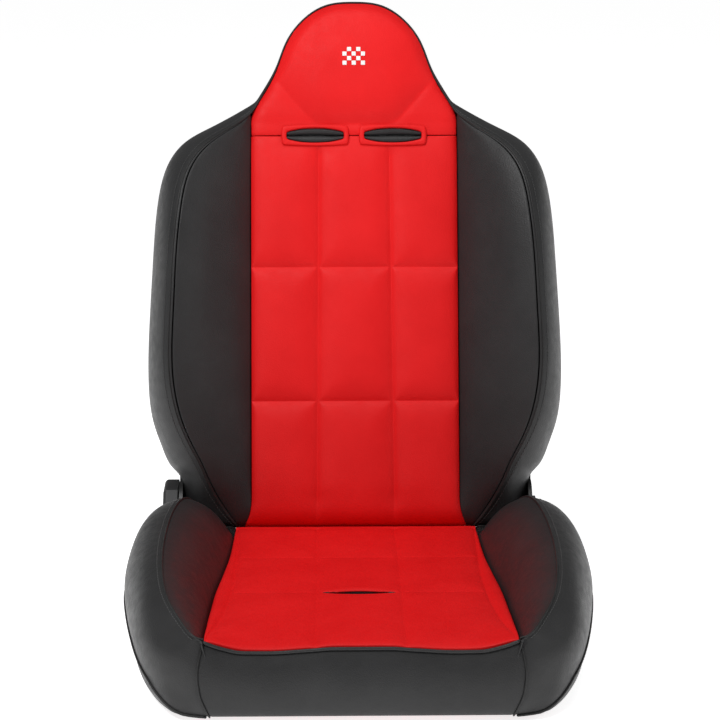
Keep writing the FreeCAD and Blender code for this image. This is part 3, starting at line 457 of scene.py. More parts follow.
def stitches(name, lines, body, material, pitch=4.6, length=3.4, radius=0.45):
    """Rows of sewn stitches: short threads that dip into the cover at their ends."""
    vertices, faces = [], []
    angles = np.linspace(0, 2 * math.pi, 6, endpoint=False)
    for points, normals in lines:
        p, n = even(points, pitch, normals)
        tangent = np.gradient(p, axis=0)
        tangent /= np.linalg.norm(tangent, axis=1, keepdims=True)
        n = n - tangent * np.sum(n * tangent, axis=1, keepdims=True)
        n /= np.linalg.norm(n, axis=1, keepdims=True)
        b = np.cross(tangent, n)
        for q, t, up, over in zip(p[1:-1], tangent[1:-1], n[1:-1], b[1:-1]):
            base = len(vertices)
            for share, rise, size in ((-0.5, -0.5, 0.5), (-0.32, 0.25, 1), (0.32, 0.25, 1), (0.5, -0.5, 0.5)):
                middle = q + t * share * length + up * rise * radius * 1.6
                for a in angles:
                    vertices.append(middle + radius * size * (math.cos(a) * over + math.sin(a) * up))
            for ring in range(3):
                for j in range(6):
                    k = (j + 1) % 6
                    a0, a1 = base + ring * 6 + j, base + ring * 6 + k
                    faces.append((a0, a1, a1 + 6, a0 + 6))
            faces.append(tuple(base + j for j in reversed(range(6))))
            faces.append(tuple(base + 18 + j for j in range(6)))
    return piece(name, vertices, faces, body, material)


# ---------------------------------------------------------------- backrest shapes
# crest seam and outer edge of a back bolster, bottom to top: crest x, q, s, then outer x, s
BACK_STATIONS = (
    (157.0, -27.0, 3.6, 196.0, 3.4),
    (163.0, -14.0, 8.0, 216.0, 7.0),
    (174.0, -1.5, 22.0, 229.0, 18.0),
    (186.0, 11.0, 40.0, 235.0, 38.0),
    (198.0, 26.0, 62.0, 240.0, 64.0),
    (204.5, 33.6, 76.5, 244.0, 78.0),
    (209.0, 39.0, 88.0, 253.5, 88.0),
    (221.0, 50.0, 112.0, 267.0, 114.0),
    (237.0, 64.0, 150.0, 280.0, 151.0),
    (248.5, 78.0, 212.0, 287.0, 212.0),
    (247.0, 86.0, 300.0, 285.0, 300.0),
    (243.0, 86.0, 380.0, 280.5, 382.0),
    (237.0, 80.0, 440.0, 275.5, 446.0),
    (226.0, 66.0, 490.0, 262.5, 505.0),
    (205.0, 47.0, 525.0, 237.0, 541.0),
    (173.0, 24.0, 552.0, 194.0, 566.0),
    (153.0, 9.0, 568.0, 160.0, 585.0),
    (143.5, 1.0, 578.0, 145.0, 594.0),
)
# the red headrest's edge and the outline outside it, neck to top
HEAD_STATIONS = (
    (127.0, -3.0, 605.5, 132.0, 607.0),
    (108.0, -6.0, 640.5, 111.8, 642.0),
    (92.5, -6.0, 680.5, 94.7, 682.0),
    (70.0, -6.0, 711.0, 71.6, 713.0),
    (40.0, -6.0, 730.8, 40.8, 732.8),
)
HEAD_TOP = (0.0, -6.0, 736.0, 0.0, 738.0)


def foot_q(s):
    """The front face's q at a height: flat, then rolled under round the recline axis."""
    below = np.clip(PIVOT_UP - np.asarray(s, float), 0, FOOT_R - 0.5)
    return -PIVOT_DEPTH + np.sqrt(FOOT_R ** 2 - below ** 2) - (FOOT_R - PIVOT_DEPTH)


def foot_place(travel, lift):
    """q and s of the front face at a distance up from the recline axis's level, raised by a lift.

    Below that level the face rolls under, round the axis.
    """
    turn = np.clip(PIVOT_UP - np.asarray(travel, float), 0, None) / FOOT_R
    flat = np.maximum(travel, PIVOT_UP)
    radius = FOOT_R - 0.5 + lift
    return -PIVOT_DEPTH + radius * np.cos(turn), flat - radius * np.sin(turn)


def rear_q(s):
    """The rear edge's q at a height, which also rolls under at the foot."""
    below = max(PIVOT_UP - s, 0.0)
    grown = -REAR_Q - PIVOT_DEPTH - REAR_FOOT_R
    radius = REAR_FOOT_R + grown * min(1.0, max(0.0, (s - 14.0) / 18.0))
    return -PIVOT_DEPTH - math.sqrt(max(radius ** 2 - below ** 2, 0.0))


def inner_edge(s):
    """Half width of the red insert, which widens at the rounded lower corner of the bolsters."""
    return smooth([(0, 156), (8, 152), (22, 146.5), (42, INSERT_X), (600, INSERT_X)], s)


def back_bolster_panel(sign):
    """The inner panel of a back bolster, from the insert to the crest seam."""
    stations = []
    for x, q, s, _, _ in BACK_STATIONS:
        edge = inner_edge(s)
        low = float(foot_q(s)) - 3.0 if s > 6 else q
        run, rise = x - edge, q - low
        points = [(edge, low, s), (edge + 0.10 * run, low + 0.17 * rise, s), (edge + 0.42 * run, low + 0.54 * rise, s),
                  (edge + 0.75 * run, low + 0.86 * rise, s), (x - 0.02 * run, q - 0.4, s)]
        if run < 4:
            points = [(edge + run * k / 4, low + rise * k / 4, s) for k in range(5)]
        stations.append(points)
    shares = chord_shares([(x, q, s) for x, q, s, _, _ in BACK_STATIONS])
    grid = loft(stations, 120, 26, shares)
    if sign < 0:
        grid = flipped(grid)
    return to_row(grid)


def boxing_stations():
    """Across-sections of the outer side panel, right foot to left foot over the headrest."""
    half = list(BACK_STATIONS) + list(HEAD_STATIONS)
    stations = []
    for number, (x, q, s, out_x, out_s) in enumerate(half + [HEAD_TOP]):
        rear = rear_q(out_s)
        side = SIDE_Q if out_s > PIVOT_UP else 0.45 * rear + 0.55 * q
        dx, ds, dq = out_x - x, out_s - s, side - q
        reach = max(math.hypot(dx, ds), 1.0)
        back = -3.5 / reach if reach > 6 else 0.0
        stations.append([
            (x, q, s), (x + 0.10 * dx, q + 0.02 * dq + 0.3, s + 0.10 * ds),
            (x + 0.46 * dx, q + 0.17 * dq, s + 0.46 * ds), (x + 0.82 * dx, q + 0.52 * dq, s + 0.82 * ds),
            (out_x, side, out_s), (out_x, 0.45 * side + 0.55 * rear, out_s),
            (out_x + back * dx, rear, out_s + back * ds),
        ])
    mirrored = [[(-x, q, s) for x, q, s in station] for station in reversed(stations[:-1])]
    return stations + mirrored


def boxing_shares(column):
    return chord_shares([station[column] for station in boxing_stations()])


def boxing_grid(rows=340, columns=34):
    stations = boxing_stations()
    return loft(stations, rows, columns, chord_shares([station[0] for station in stations]))


def insert_columns(seam, edge, places):
    """x at nominal places: 0 at the middle, 1 at a seam and 2 at the edge."""
    places = np.asarray(places, float)
    size = np.abs(places)
    x = np.where(size <= 1, size * seam, seam + (size - 1) * (edge - seam))
    return np.sign(places) * x


def sewn_depth(distance, width, depth):
    """How far a sewn channel lies below the surface, at a distance from its seam."""
    return depth * np.exp(-np.power(np.abs(distance) / width, 1.15))


def column_places(seam_x, edge_x, step=9.0):
    """Nominal column places, closer beside the seams and the edges."""
    inner = graded(0, seam_x, step, (seam_x,))
    outer = graded(seam_x, edge_x, step, (seam_x, edge_x))
    half = np.concatenate([inner / seam_x, 1 + (outer[1:] - seam_x) / (edge_x - seam_x)])
    return np.concatenate([-half[::-1], half[1:]])


def back_pad():
    """The red back pad below the harness slots, quilted three panels wide and three high."""
    rows = graded(-22.0, SLOT_S, 8.0, (*BACK_SEAMS, SLOT_S))
    places = column_places(51.0, INSERT_X)
    seam = np.interp(rows, [0, 178, 548], [54.0, 52.0, 49.0])
    edge = inner_edge(rows) + 0.2
    x = np.array([insert_columns(a, b, places) for a, b in zip(seam, edge)])
    s = np.repeat(rows[:, None], len(places), axis=1)
    across = np.abs(np.abs(x) - seam[:, None])
    fade = np.clip((SLOT_S - 16 - s) / 10, 0, 1)
    to_edge = edge[:, None] - np.abs(x)
    depth = np.zeros_like(x)
    for place in BACK_SEAMS:
        depth = np.maximum(depth, sewn_depth(s - place, 9.0, 6.0))
    depth = np.maximum(depth, sewn_depth(SLOT_S - s, 2.6, 1.5))
    depth = np.maximum(depth, sewn_depth(across, 8.0, 7.4) * fade * np.clip((s - 4) / 40, 0, 1))
    depth = np.maximum(depth, sewn_depth(to_edge, 5.0, 6.5))
    crown = 2.4 * np.clip(1 - (np.abs(x) / INSERT_X) ** 2, 0, 1)
    near_slots = 1 - 0.85 * np.exp(-((SLOT_S - s) / 24.0) ** 2)
    lift = (4.5 + crown) * near_slots * np.clip(s / 60, 0, 1) - depth * np.clip((s + 10) / 30, 0.15, 1)
    grid = np.stack([x, *foot_place(s, lift)], axis=-1)
    sewn = (np.abs(s[..., None] - np.array([*BACK_SEAMS, SLOT_S, rows[0]])) < 0.6).any(axis=-1)
    sewn |= (across < 0.5) & (fade > 0.5)
    sewn |= to_edge < 0.6
    sewn |= (SLOT_S - s < 20) & (np.abs(x) < SLOT_OUT + 8)
    row_grid = to_row(grid)
    row_grid = inflate("back_pad", row_grid, sewn, 2.0, 3.0, FORWARD)
    hidden = slot_cells(x, s)
    made = panel("back_pad", row_grid, "backrest", "red_vinyl", FORWARD, hidden)
    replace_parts(made, "back_pad_cover", "back_pad_foam")
    return row_grid


def slot_cells(x, s):
    """Which grid cells lie in the harness slots."""
    mid_x = np.abs((x[:-1, :-1] + x[1:, 1:]) / 2)
    mid_s = (s[:-1, :-1] + s[1:, 1:]) / 2
    return (mid_x > SLOT_IN + 1) & (mid_x < SLOT_OUT - 1) & (np.abs(mid_s - SLOT_S) < SLOT_HALF - 1)


def head_outline():
    """The headrest's red edge, right lower corner over the top to the left one."""
    lower = [(-INSERT_X, SLOT_S), (-INSERT_X, 560.0), (-INSERT_X, 574.0)]
    edge = [(-x, s) for x, _, s, _, _ in HEAD_STATIONS]
    right = np.array(lower + [(-142.0, 580.0)] + edge)
    full = np.vstack([right, [[0.0, HEAD_TOP[2]]], right[::-1] * [-1, 1]])
    return spline(full, chord_shares(full), np.linspace(0, 1, 241))


def head_pad():
    """The red headrest: flat round the slots, then domed above the creases."""
    outline = head_outline()
    corner = 78
    left, top, right = outline[:corner + 1], outline[corner:-corner], outline[::-1][:corner + 1]
    rows, columns = 64, 81
    v, u = np.linspace(0, 1, rows), np.linspace(0, 1, columns)

    def along(line, at):
        shares = chord_shares(line)
        return np.stack([np.interp(at, shares, line[:, k]) for k in range(2)], axis=1)

    left_line, right_line, top_line = along(left, v), along(right, v), along(top, u)
    bottom_line = np.stack([np.linspace(-INSERT_X, INSERT_X, columns), np.full(columns, SLOT_S)], axis=1)
    vv, uu = v[:, None, None], u[None, :, None]
    flat = ((1 - uu) * left_line[:, None] + uu * right_line[:, None] + (1 - vv) * bottom_line[None]
            + vv * top_line[None] - (1 - uu) * (1 - vv) * bottom_line[0] - uu * (1 - vv) * bottom_line[-1]
            - (1 - uu) * vv * top_line[0] - uu * vv * top_line[-1])
    x, s = flat[..., 0], flat[..., 1]
    rim = np.min(np.linalg.norm(flat[:, :, None] - outline[None, None], axis=-1), axis=2)
    level, slant = s - 566.0, (s - 567.0 - (np.abs(x) - 57.0) * 65 / 55) * 0.65
    above = level + slant - np.sqrt((level - slant) ** 2 + 6.0 ** 2)
    above = above / 2 + 2.0
    dome = 14.0 * (1 - np.exp(-(np.clip(above, 0, None) / 26.0) ** 1.3)) * np.clip(rim / 60, 0, 1) ** 0.45
    q = 2.2 + dome - 1.5 * np.exp(-(np.abs(above) / 4.0) ** 1.3) + 1.2 * np.clip((s - 566) / 12, 0, 1)
    q -= sewn_depth(s - SLOT_S, 2.6, 1.5)
    q = q - (q + 6.5) * np.exp(-(rim / 7.0) ** 1.2) * np.clip((s - 560) / 20, 0, 1)
    q = q - 5.5 * np.exp(-(rim / 5.0)) * np.clip((580 - s) / 20, 0, 1) * (INSERT_X - np.abs(x) < 20)
    grid = to_row(np.stack([x, q, s], axis=-1))
    sewn = np.zeros(x.shape, bool)
    sewn[0], sewn[-1], sewn[:, 0], sewn[:, -1] = True, True, True, True
    sewn |= (np.abs(above) < 2.0) | ((s < SLOT_S + 18) & (np.abs(x) < SLOT_OUT + 8))
    grid = inflate("head_pad", grid, sewn, 1.2, 2.5, FORWARD)
    made = panel("head_pad", grid, "backrest", "red_vinyl", FORWARD, slot_cells(x, s))
    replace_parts(made, "head_pad_cover", "head_pad_foam")
    return grid


def lens(count=25):
    """Half height of a slot's lens-shaped opening, over its width from end to end."""
    share = np.linspace(-1, 1, count)
    return share, SLOT_END_HALF + (SLOT_HALF - SLOT_END_HALF) * (1 - np.abs(share) ** 2.2)


def slot_bezel(sign):
    """The red sewn patch round a harness slot, raised, with a lens-shaped opening."""
    share, half = lens()
    middle, reach = (SLOT_IN + SLOT_OUT) / 2, (SLOT_OUT - SLOT_IN) / 2
    hole = np.vstack([np.stack([middle + reach * share, SLOT_S + half], axis=1),
                      np.stack([middle + reach * share[::-1], SLOT_S - half[::-1]], axis=1)])
    out_half = 14.2 + 1.6 * (1 - share ** 2)
    outer_reach = reach + 7.5
    outer = np.vstack([np.stack([middle + outer_reach * share, SLOT_S + out_half - 0.6], axis=1),
                       np.stack([middle + outer_reach * share[::-1], SLOT_S - out_half[::-1] + 0.6], axis=1)])
    profile = ((1.0, 1.2), (0.94, 4.6), (0.8, 5.9), (0.5, 6.2), (0.2, 6.0), (0.04, 5.0), (0.0, 2.0), (0.0, -6.0))
    rings = np.array([np.column_stack([hole + w * (outer - hole), np.full(len(hole), q)]) for w, q in profile])
    local = np.stack([sign * rings[..., 0], rings[..., 2], rings[..., 1]], axis=-1)
    grid = to_row(local)
    rows, columns = grid.shape[:2]
    faces = grid_faces(rows, columns, closed=True)
    if sign > 0:
        faces = [face[::-1] for face in faces]
    made = piece("slot_bezel_" + SIDE_NAMES[sign], grid.reshape(-1, 3), faces, "backrest", "red_vinyl")
    thick = made.modifiers.new("thickness", "SOLIDIFY")
    thick.thickness, thick.offset = 0.0015, -1.0
    subdivide(made, 1)
    return made


def slot_lips(sign):
    """Two black rolled lips that nearly close a harness slot."""
    share, half = lens(33)
    middle, reach = (SLOT_IN + SLOT_OUT) / 2, (SLOT_OUT - SLOT_IN) / 2
    made = []
    for which, up in (("upper", 1), ("lower", -1)):
        rows = []
        for w, q in ((1.06, -4.0), (1.0, 1.2), (0.85, 3.0), (0.6, 3.6), (0.3, 2.8), (0.1, 0.6), (0.0, -3.0),
                     (0.0, -9.0)):
            wave = 0.9 * np.sin(share * 2.2 + 1.3) * (1 - share ** 2) * (w < 0.5)
            height = up * (w * half + 0.1) + wave * 0.8
            rows.append(np.stack([sign * (middle + reach * share * 0.995), np.full(len(share), q), SLOT_S + height],
                                 axis=1))
        grid = to_row(np.array(rows))
        made.append(panel(f"slot_lip_{which}_{SIDE_NAMES[sign]}", grid, "backrest", "black_vinyl", FORWARD,
                          thickness=1.2))
    return made


def rear_cover(boxing):
    """The rear panel: a padded board whose rolled edge meets the side panel."""
    rim = boxing[:, -1]
    half = rim[:len(rim) // 2 + 1]
    order = np.argsort(half[:, 2])
    s_of, x_of = half[order, 2], np.abs(half[order, 0])
    lowest = max(s_of[0] + 1.0, PIVOT_UP - REAR_FOOT_R)
    rows = graded(lowest, s_of[-1] - 0.6, 6.0, (SLOT_S - 12, SLOT_S + 12, 700, 715, 726, 733))
    width = np.interp(rows, s_of, x_of)
    fixed = np.array([0, SLOT_IN - 3, SLOT_IN, 30, 54, 78, SLOT_OUT, SLOT_OUT + 3])
    shares = np.array([0.0, 0.15, 0.3, 0.45, 0.6, 0.72, 0.82, 0.9, 0.96, 1.0])
    x = []
    for w in width:
        scale = min(1.0, w / (SLOT_OUT + 22))
        inner = fixed * scale
        outer = inner[-1] + (w - inner[-1]) * shares[1:]
        line = np.concatenate([inner, outer])
        x.append(np.concatenate([-line[::-1], line[1:]]))
    x = np.array(x)
    s = np.repeat(rows[:, None], x.shape[1], axis=1)
    edge = np.minimum(width[:, None] - np.abs(x), np.minimum(s - rows[0], (rows[-1] - s) * 2))
    q = REAR_Q + 2.0 - 5.0 * (1 - np.exp(-np.clip(edge, 0, None) / 7.0))
    q = q + 1.4 * np.exp(-(np.abs(np.abs(x) - 128) / 2.2) ** 2) * (s > 60) * (s < 520)
    below = np.clip(PIVOT_UP - s, 0, None)
    q = np.maximum(q, -PIVOT_DEPTH - np.sqrt((REAR_FOOT_R + 2.5) ** 2 - below ** 2) - 3.0 * (s > PIVOT_UP))
    grid = to_row(np.stack([x, q, s], axis=-1))
    made = panel("rear_cover", grid, "backrest", "panel_vinyl", -FORWARD, slot_cells(x, s), thickness=3.0)
    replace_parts(made, "rear_panel", "rear_panel_rim")


SIDE_NAMES = {-1: "right", 1: "left"}


def crest_line(grid, column):
    return grid[:, column], -normals_of(grid)[:, column]


def back_upholstery():
    back_pad()
    head_patch(head_pad())
    local_boxing = boxing_grid()
    boxing = to_row(local_boxing)
    panel("back_side_panel", boxing, "backrest", "black_vinyl", UP, thickness=2.2)
    for sign, name in SIDE_NAMES.items():
        grid = back_bolster_panel(sign)
        sewn = np.zeros(grid.shape[:2], bool)
        sewn[0], sewn[-1], sewn[:, 0], sewn[:, -1] = True, True, True, True
        outward = np.array([-sign * 0.5, -0.8, 0.3])
        grid = inflate("bolster_" + name, grid, sewn, 1.5, 3.0, outward)
        made = panel(f"back_bolster_{name}", grid, "backrest", "black_vinyl", outward)
        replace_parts(made, f"back_bolster_cover_{name}", f"back_bolster_foam_{name}")
        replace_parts(slot_bezel(sign), "harness_bezels")
        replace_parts(slot_sleeve(sign), "harness_sleeves")
        slot_lips(sign)
    rear_cover(local_boxing)
    map_pocket()
    edge = boxing[:, -1] - FORWARD * 0.5
    tube("rear_welt", even(edge, 5.0), 2.4, "backrest", "trim_black")
    seam = boxing[2:-2, 1]
    outward = outward_normals(boxing, np.array([0.0, 0, 0]) + JUNCTION + UP * 330 - FORWARD * 20)[2:-2, 1]
    stitches("crest_stitches", [(boxing[2:-2, 3] + outward * 0.2, outward)], "backrest", "thread_black")
    tube("crest_welt", even(seam + outward * 0.2, 4.0), 1.3, "backrest", "trim_black", 8)


def outward_normals(grid, centre):
    normals = normals_of(grid)
    away = grid - centre
    return normals * np.sign(np.sum(normals * away, axis=-1, keepdims=True))


# ---------------------------------------------------------------- cushion shapes
# base bolster stations: y, inner x, inner z, crest x, crest z, widest x, widest z, hem x
BASE_STATIONS = (
    (-284.0, 187.0, 103.0, 187.0, 105.0, 194.5, 64.0, 181.0),
    (-277.0, 187.3, 98.0, 195.5, 107.5, 217.0, 65.0, 206.0),
    (-258.0, 187.8, 94.0, 210.5, 115.5, 243.0, 67.0, 231.0),
    (-215.0, 187.8, 91.0, 230.0, 129.5, 267.5, 71.0, 251.0),
    (-150.0, 186.5, 88.0, 242.0, 140.5, 284.0, 76.0, 261.0),
    (-75.0, 184.0, 84.0, 246.0, 147.5, 295.0, 80.0, 268.0),
    (0.0, 177.5, 81.0, 245.0, 150.5, 299.5, 82.0, 270.0),
    (80.0, 170.5, 77.0, 239.0, 151.0, 288.5, 83.0, 262.0),
    (140.0, 167.5, 75.0, 229.0, 143.0, 276.5, 81.0, 255.0),
    (180.0, 166.5, 72.0, 218.0, 122.0, 267.0, 73.0, 252.0),
    (203.0, 166.0, 66.0, 208.0, 99.0, 254.0, 62.0, 249.0),
    (215.0, 165.5, 62.0, 200.0, 84.0, 246.0, 54.0, 245.0),
)
FRONT_EDGE = ((0.0, 94.0), (33.0, 94.0), (61.0, 92.0), (108.0, 89.2), (136.0, 89.4), (164.0, 95.0), (186.0, 102.5))
SEAM_CURVE = ((105.0, 186.0), (87.0, 191.0), (64.0, 194.5), (40.0, 192.0), (22.0, 186.0), (8.0, 180.5))


def skirt_y(share, place):
    """How far forward the front skirt stands, at a share of the way down and a place across."""
    bulge = math.sin(math.pi * min(1.0, share * 0.93 + 0.07)) ** 0.55
    return -272.0 - 15.5 * bulge * (1 - 0.14 * abs(place) ** 3) - 9.0 * share


def base_shares():
    return chord_shares([(row[3], row[0], row[4]) for row in BASE_STATIONS])


def base_inner_panel():
    stations = []
    for y, x_in, z_in, x_crest, z_crest, _, _, _ in BASE_STATIONS:
        run, rise = x_crest - x_in, z_crest - z_in
        low = z_in - 5.0 if run > 3 else z_in
        rise = z_crest - low
        stations.append([
            (x_in + 1.0, y, low), (x_in + 0.10 * run, y, low + 0.20 * rise),
            (x_in + 0.34 * run, y, low + 0.58 * rise), (x_in + 0.68 * run, y, low + 0.88 * rise),
            (x_crest, y, z_crest),
        ])
    return loft(stations, 90, 26, base_shares())


def tucked_under(grid, drop, along):
    """The grid with a flap added before its first column, hanging down out of sight."""
    shares = np.linspace(1, 0, 4)[:-1]
    flap = grid[:, :1] + shares[None, :, None] * np.array([along, 0.0, -drop])
    return np.concatenate([flap, grid], axis=1)


def base_outer_panel():
    stations = []
    for y, _, _, x_crest, z_crest, x_wide, z_wide, x_hem in BASE_STATIONS:
        out, drop = x_wide - x_crest, z_crest - z_wide
        tuck = x_wide - x_hem
        full = 0.07 * min(1.0, max(0.0, (y + 20) / 90)) + 0.09 * math.exp(-((y - 108) / 55) ** 2)
        front = min(1.0, max(0.0, (-195 - y) / 60))
        stations.append([
            (x_crest, y, z_crest), (x_crest + 0.16 * out, y, z_crest - (0.02 + 0.09 * front) * drop),
            (x_crest + (0.52 + full) * out, y, z_crest - (0.17 + 0.19 * front) * drop),
            (x_crest + (0.84 + full) * out, y, z_crest - (0.50 + 0.12 * front) * drop),
            (x_wide, y, z_wide), (x_wide - 0.16 * tuck, y, z_wide - 0.42 * (z_wide - HEM_Z)),
            (x_wide - 0.48 * tuck, y, z_wide - 0.78 * (z_wide - HEM_Z)), (x_hem, y, HEM_Z),
        ])
    top = stations[0][0][2]
    stations[0] = [(x, skirt_y((top - z) / (top - HEM_Z), 1.0) + 0.8, z) for x, _, z in stations[0]]
    return loft(stations, 110, 54, base_shares())


def base_end_cap(inner, outer):
    """The rounded rear end of a base bolster, drawn in from the last row of both panels."""
    loop = np.vstack([inner[-1], outer[-1][1:]])
    middle = loop.mean(axis=0)
    rings = []
    for share, back in ((1.0, 0.0), (0.97, 1.1), (0.88, 1.9), (0.6, 2.3), (0.3, 2.4), (0.02, 2.5)):
        rings.append(middle + (loop - middle) * share + np.array([0, back, 0]))
    return np.array(rings)


def base_bolsters():
    inner, outer = base_inner_panel(), base_outer_panel()
    sewn = np.zeros(inner.shape[:2], bool)
    sewn[0], sewn[-1], sewn[:, 0], sewn[:, -1] = True, True, True, True
    inner = inflate("base_inner", inner, sewn, 2.0, 4.0, np.array([-0.6, 0, 0.8]))
    sewn = np.zeros(outer.shape[:2], bool)
    sewn[0], sewn[-1], sewn[:, 0], sewn[:, -1] = True, True, True, True
    outer = inflate("base_outer", outer, sewn, 1.0, 2.0, np.array([0.8, 0, 0.4]))
    cap = base_end_cap(inner, outer)
    seam = outer[:, 0]
    away = -outward_normals(outer, np.array([215.0, 0.0, 60.0])) * -1
    rows = len(outer)
    share = np.linspace(0, 1, rows)
    column = np.interp(share, [0.0, 0.03, 0.12, 0.25, 1.0], [53, 52, 40, 33, 31])
    low = np.floor(column).astype(int)
    part = (column - low)[:, None]
    index = np.arange(rows)
    welt = outer[index, low] * (1 - part) + outer[index, np.minimum(low + 1, 53)] * part
    welt_out = away[index, low]
    stitch_row = outer[2:-1, 2] + away[2:-1, 2] * 0.2
    inner = tucked_under(inner, 26.0, -7.0)
    flange = outer[:1].copy()
    flange[..., 0] -= 5.0 * np.clip((100.0 - flange[..., 2]) / 15.0, 0, 1)
    flange[..., 1] += 2.5
    outer = np.concatenate([flange, outer])
    for sign, name in SIDE_NAMES.items():
        def side(points):
            return points if sign > 0 else flipped(points)
        hint = np.array([-sign * 0.6, 0, 0.8])
        made = panel(f"base_bolster_inner_{name}", side(inner), "base", "black_vinyl", hint)
        hint = np.array([sign * 0.8, 0, 0.4])
        wide = panel(f"base_bolster_outer_{name}", side(outer), "base", "black_vinyl", hint)
        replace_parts(wide, f"base_bolster_cover_{name}", f"base_bolster_foam_{name}")
        panel(f"base_bolster_end_{name}", side(cap), "base", "black_vinyl", np.array([0, 1.0, 0]), thickness=2.0)
        tube(f"base_crest_welt_{name}", even(side(seam + away[:, 0] * 0.3), 4.0), 1.4, "base", "trim_black", 8)
        tube(f"base_outer_welt_{name}", even(side(welt + welt_out * 0.6), 4.0)[1:], 1.7, "base", "trim_black", 8)
        stitches(f"base_crest_stitches_{name}", [(side(stitch_row), side(away[2:-1, 2]))], "base", "thread_black")


def pad_top(y):
    share = (np.asarray(y, float) - JUNCTION[1]) / (PAD_FRONT_Y - JUNCTION[1])
    return JUNCTION[2] + share * (PAD_FRONT_Z - JUNCTION[2])


def pad_edge(y):
    return smooth([(-272, 186.5), (-245, 187.5), (-183, 187), (-133, 185.5), (-70, 183), (24, 175), (95, 169.5),
                   (207, 166), (222, 165.5)], y)


def stitch_line_x(y):
    return smooth([(-272, 184.5), (-248, 183), (-200, 175), (-134, 166.5), (-59, 161), (13, 159), (97, 160),
                   (207, 163), (222, 163.5)], y)


def cushion_pad():
    """The red cushion: quilted three panels wide and three deep, with a flange beside each bolster."""
    rows = graded(PAD_FRONT_Y, PAD_REAR_Y, 8.5, (*PAD_SEAMS, PAD_REAR_Y, PAD_FRONT_Y))
    inner = graded(0, 54, 8.0, (54.0,))
    panel_out = graded(54, 160, 9.0, (54.0, 160.0))
    flange = np.linspace(0, 1, 6)
    x_rows = []
    for y in rows:
        seam = np.interp(y, [-270, 219], [54.0, 53.0])
        line, edge = float(stitch_line_x(y)), float(pad_edge(y))
        half = np.concatenate([inner / 54 * seam, seam + (panel_out[1:] - 54) / 106 * (line - seam),
                               line + flange[1:] * (edge - line)])
        x_rows.append(np.concatenate([-half[::-1], half[1:]]))
    x = np.array(x_rows)
    y = np.repeat(rows[:, None], x.shape[1], axis=1)
    line, edge = stitch_line_x(y), pad_edge(y)
    seam = np.interp(y, [-270, 219], [54.0, 53.0])
    depth = np.zeros_like(x)
    for place in PAD_SEAMS:
        depth = np.maximum(depth, sewn_depth(y - place, 6.0, 1.9) * (np.abs(x) < line + 1))
    depth = np.maximum(depth, sewn_depth(np.abs(x) - seam, 6.0, 2.6) * np.clip((y + 300) / 60, 0, 1))
    depth = np.maximum(depth, sewn_depth(np.abs(x) - line, 4.0, 2.6))
    depth = np.maximum(depth, sewn_depth(edge - np.abs(x), 3.0, 4.5))
    waved = smooth([(-x0, z0) for x0, z0 in FRONT_EDGE[1:]] + list(FRONT_EDGE), x) - PAD_FRONT_Z
    z = pad_top(y) + 2.6 - depth + waved * np.exp(-((y - PAD_FRONT_Y) / 60.0))
    z += 1.5 * np.clip((np.abs(x) - line) / np.maximum(edge - line, 1), 0, 1)
    z -= 3.0 * np.exp(-(y - PAD_FRONT_Y) / 3.5)
    rear = np.clip((y - 200) / (PAD_REAR_Y - 200), 0, 1)
    z -= 1.5 * rear ** 2.5
    z, y = strap_dip(x, y, z)
    grid = np.stack([x, y, z], axis=-1)
    sewn = (np.abs(y[..., None] - np.array(PAD_SEAMS)) < 0.6).any(axis=-1) & (np.abs(x) < line)
    sewn |= (np.abs(np.abs(x) - seam) < 0.4) | (np.abs(np.abs(x) - line) < 0.4) | (edge - np.abs(x) < 0.4)
    sewn[0], sewn[-1] = True, True
    sewn |= (np.abs(x) < STRAP_X + 6) & (np.abs(y - STRAP_Y) < 12)
    grid = inflate("cushion", grid, sewn, 2.0, 3.0, np.array([0, 0, 1.0]))
    mid_x = np.abs((x[:-1, :-1] + x[1:, 1:]) / 2)
    mid_y = (y[:-1, :-1] + y[1:, 1:]) / 2
    hidden = (mid_x < STRAP_X) & (np.abs(mid_y - STRAP_Y) < 3.0)
    tail = []
    for turn in np.radians([38, 48, 60, 74, 90]):
        ring = np.array([PIVOT[1] - CUSHION_TAIL_R * math.cos(turn), PIVOT[2] - CUSHION_TAIL_R * math.sin(turn)])
        row = grid[-1].copy()
        row[:, 1:] = ring
        tail.append(row)
    front = grid[:1] + np.linspace(1, 0, 4)[:-1, None, None] * np.array([0, 1.0, -12.0])
    whole = np.concatenate([front, grid, tail])
    hidden = np.vstack([np.zeros((3, hidden.shape[1]), bool), hidden, np.zeros((5, hidden.shape[1]), bool)])
    down = np.array([0, 0, -16.0])
    whole = np.concatenate([whole[:, :1] + down, whole, whole[:, -1:] + down], axis=1)
    hidden = np.pad(hidden, ((0, 0), (1, 1)))
    made = panel("cushion_pad", whole, "base", "red_vinyl", np.array([0, 0, 1.0]), hidden)
    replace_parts(made, "cushion_cover", "cushion_foam")
    return grid


def rear_apron():
    """The black flap behind the cushion's tail, which closes the corners under the backrest's foot."""
    columns = np.linspace(-192, 192, 65)
    grid = np.zeros((13, len(columns), 3))
    for j, x in enumerate(columns):
        first = float(np.interp(abs(x), [157, 166], [72.0, 36.0]))
        turns = np.radians(np.linspace(first, 92.0, 9))
        radius = APRON_R + 2.5 * np.clip((turns - 0.7) / 0.7, 0, 1)
        grid[:9, j, 1] = PIVOT[1] - radius * np.cos(turns)
        grid[:9, j, 2] = PIVOT[2] - radius * np.sin(turns)
        grid[9:, j, 1] = [257.5, 259.5, 260.5, 261.0]
        grid[9:, j, 2] = [55.5, 47.0, 36.0, 24.0]
        grid[:, j, 0] = x
    panel("rear_apron", grid, "base", "panel_vinyl", np.array([0, -0.6, 0.8]), thickness=1.2)


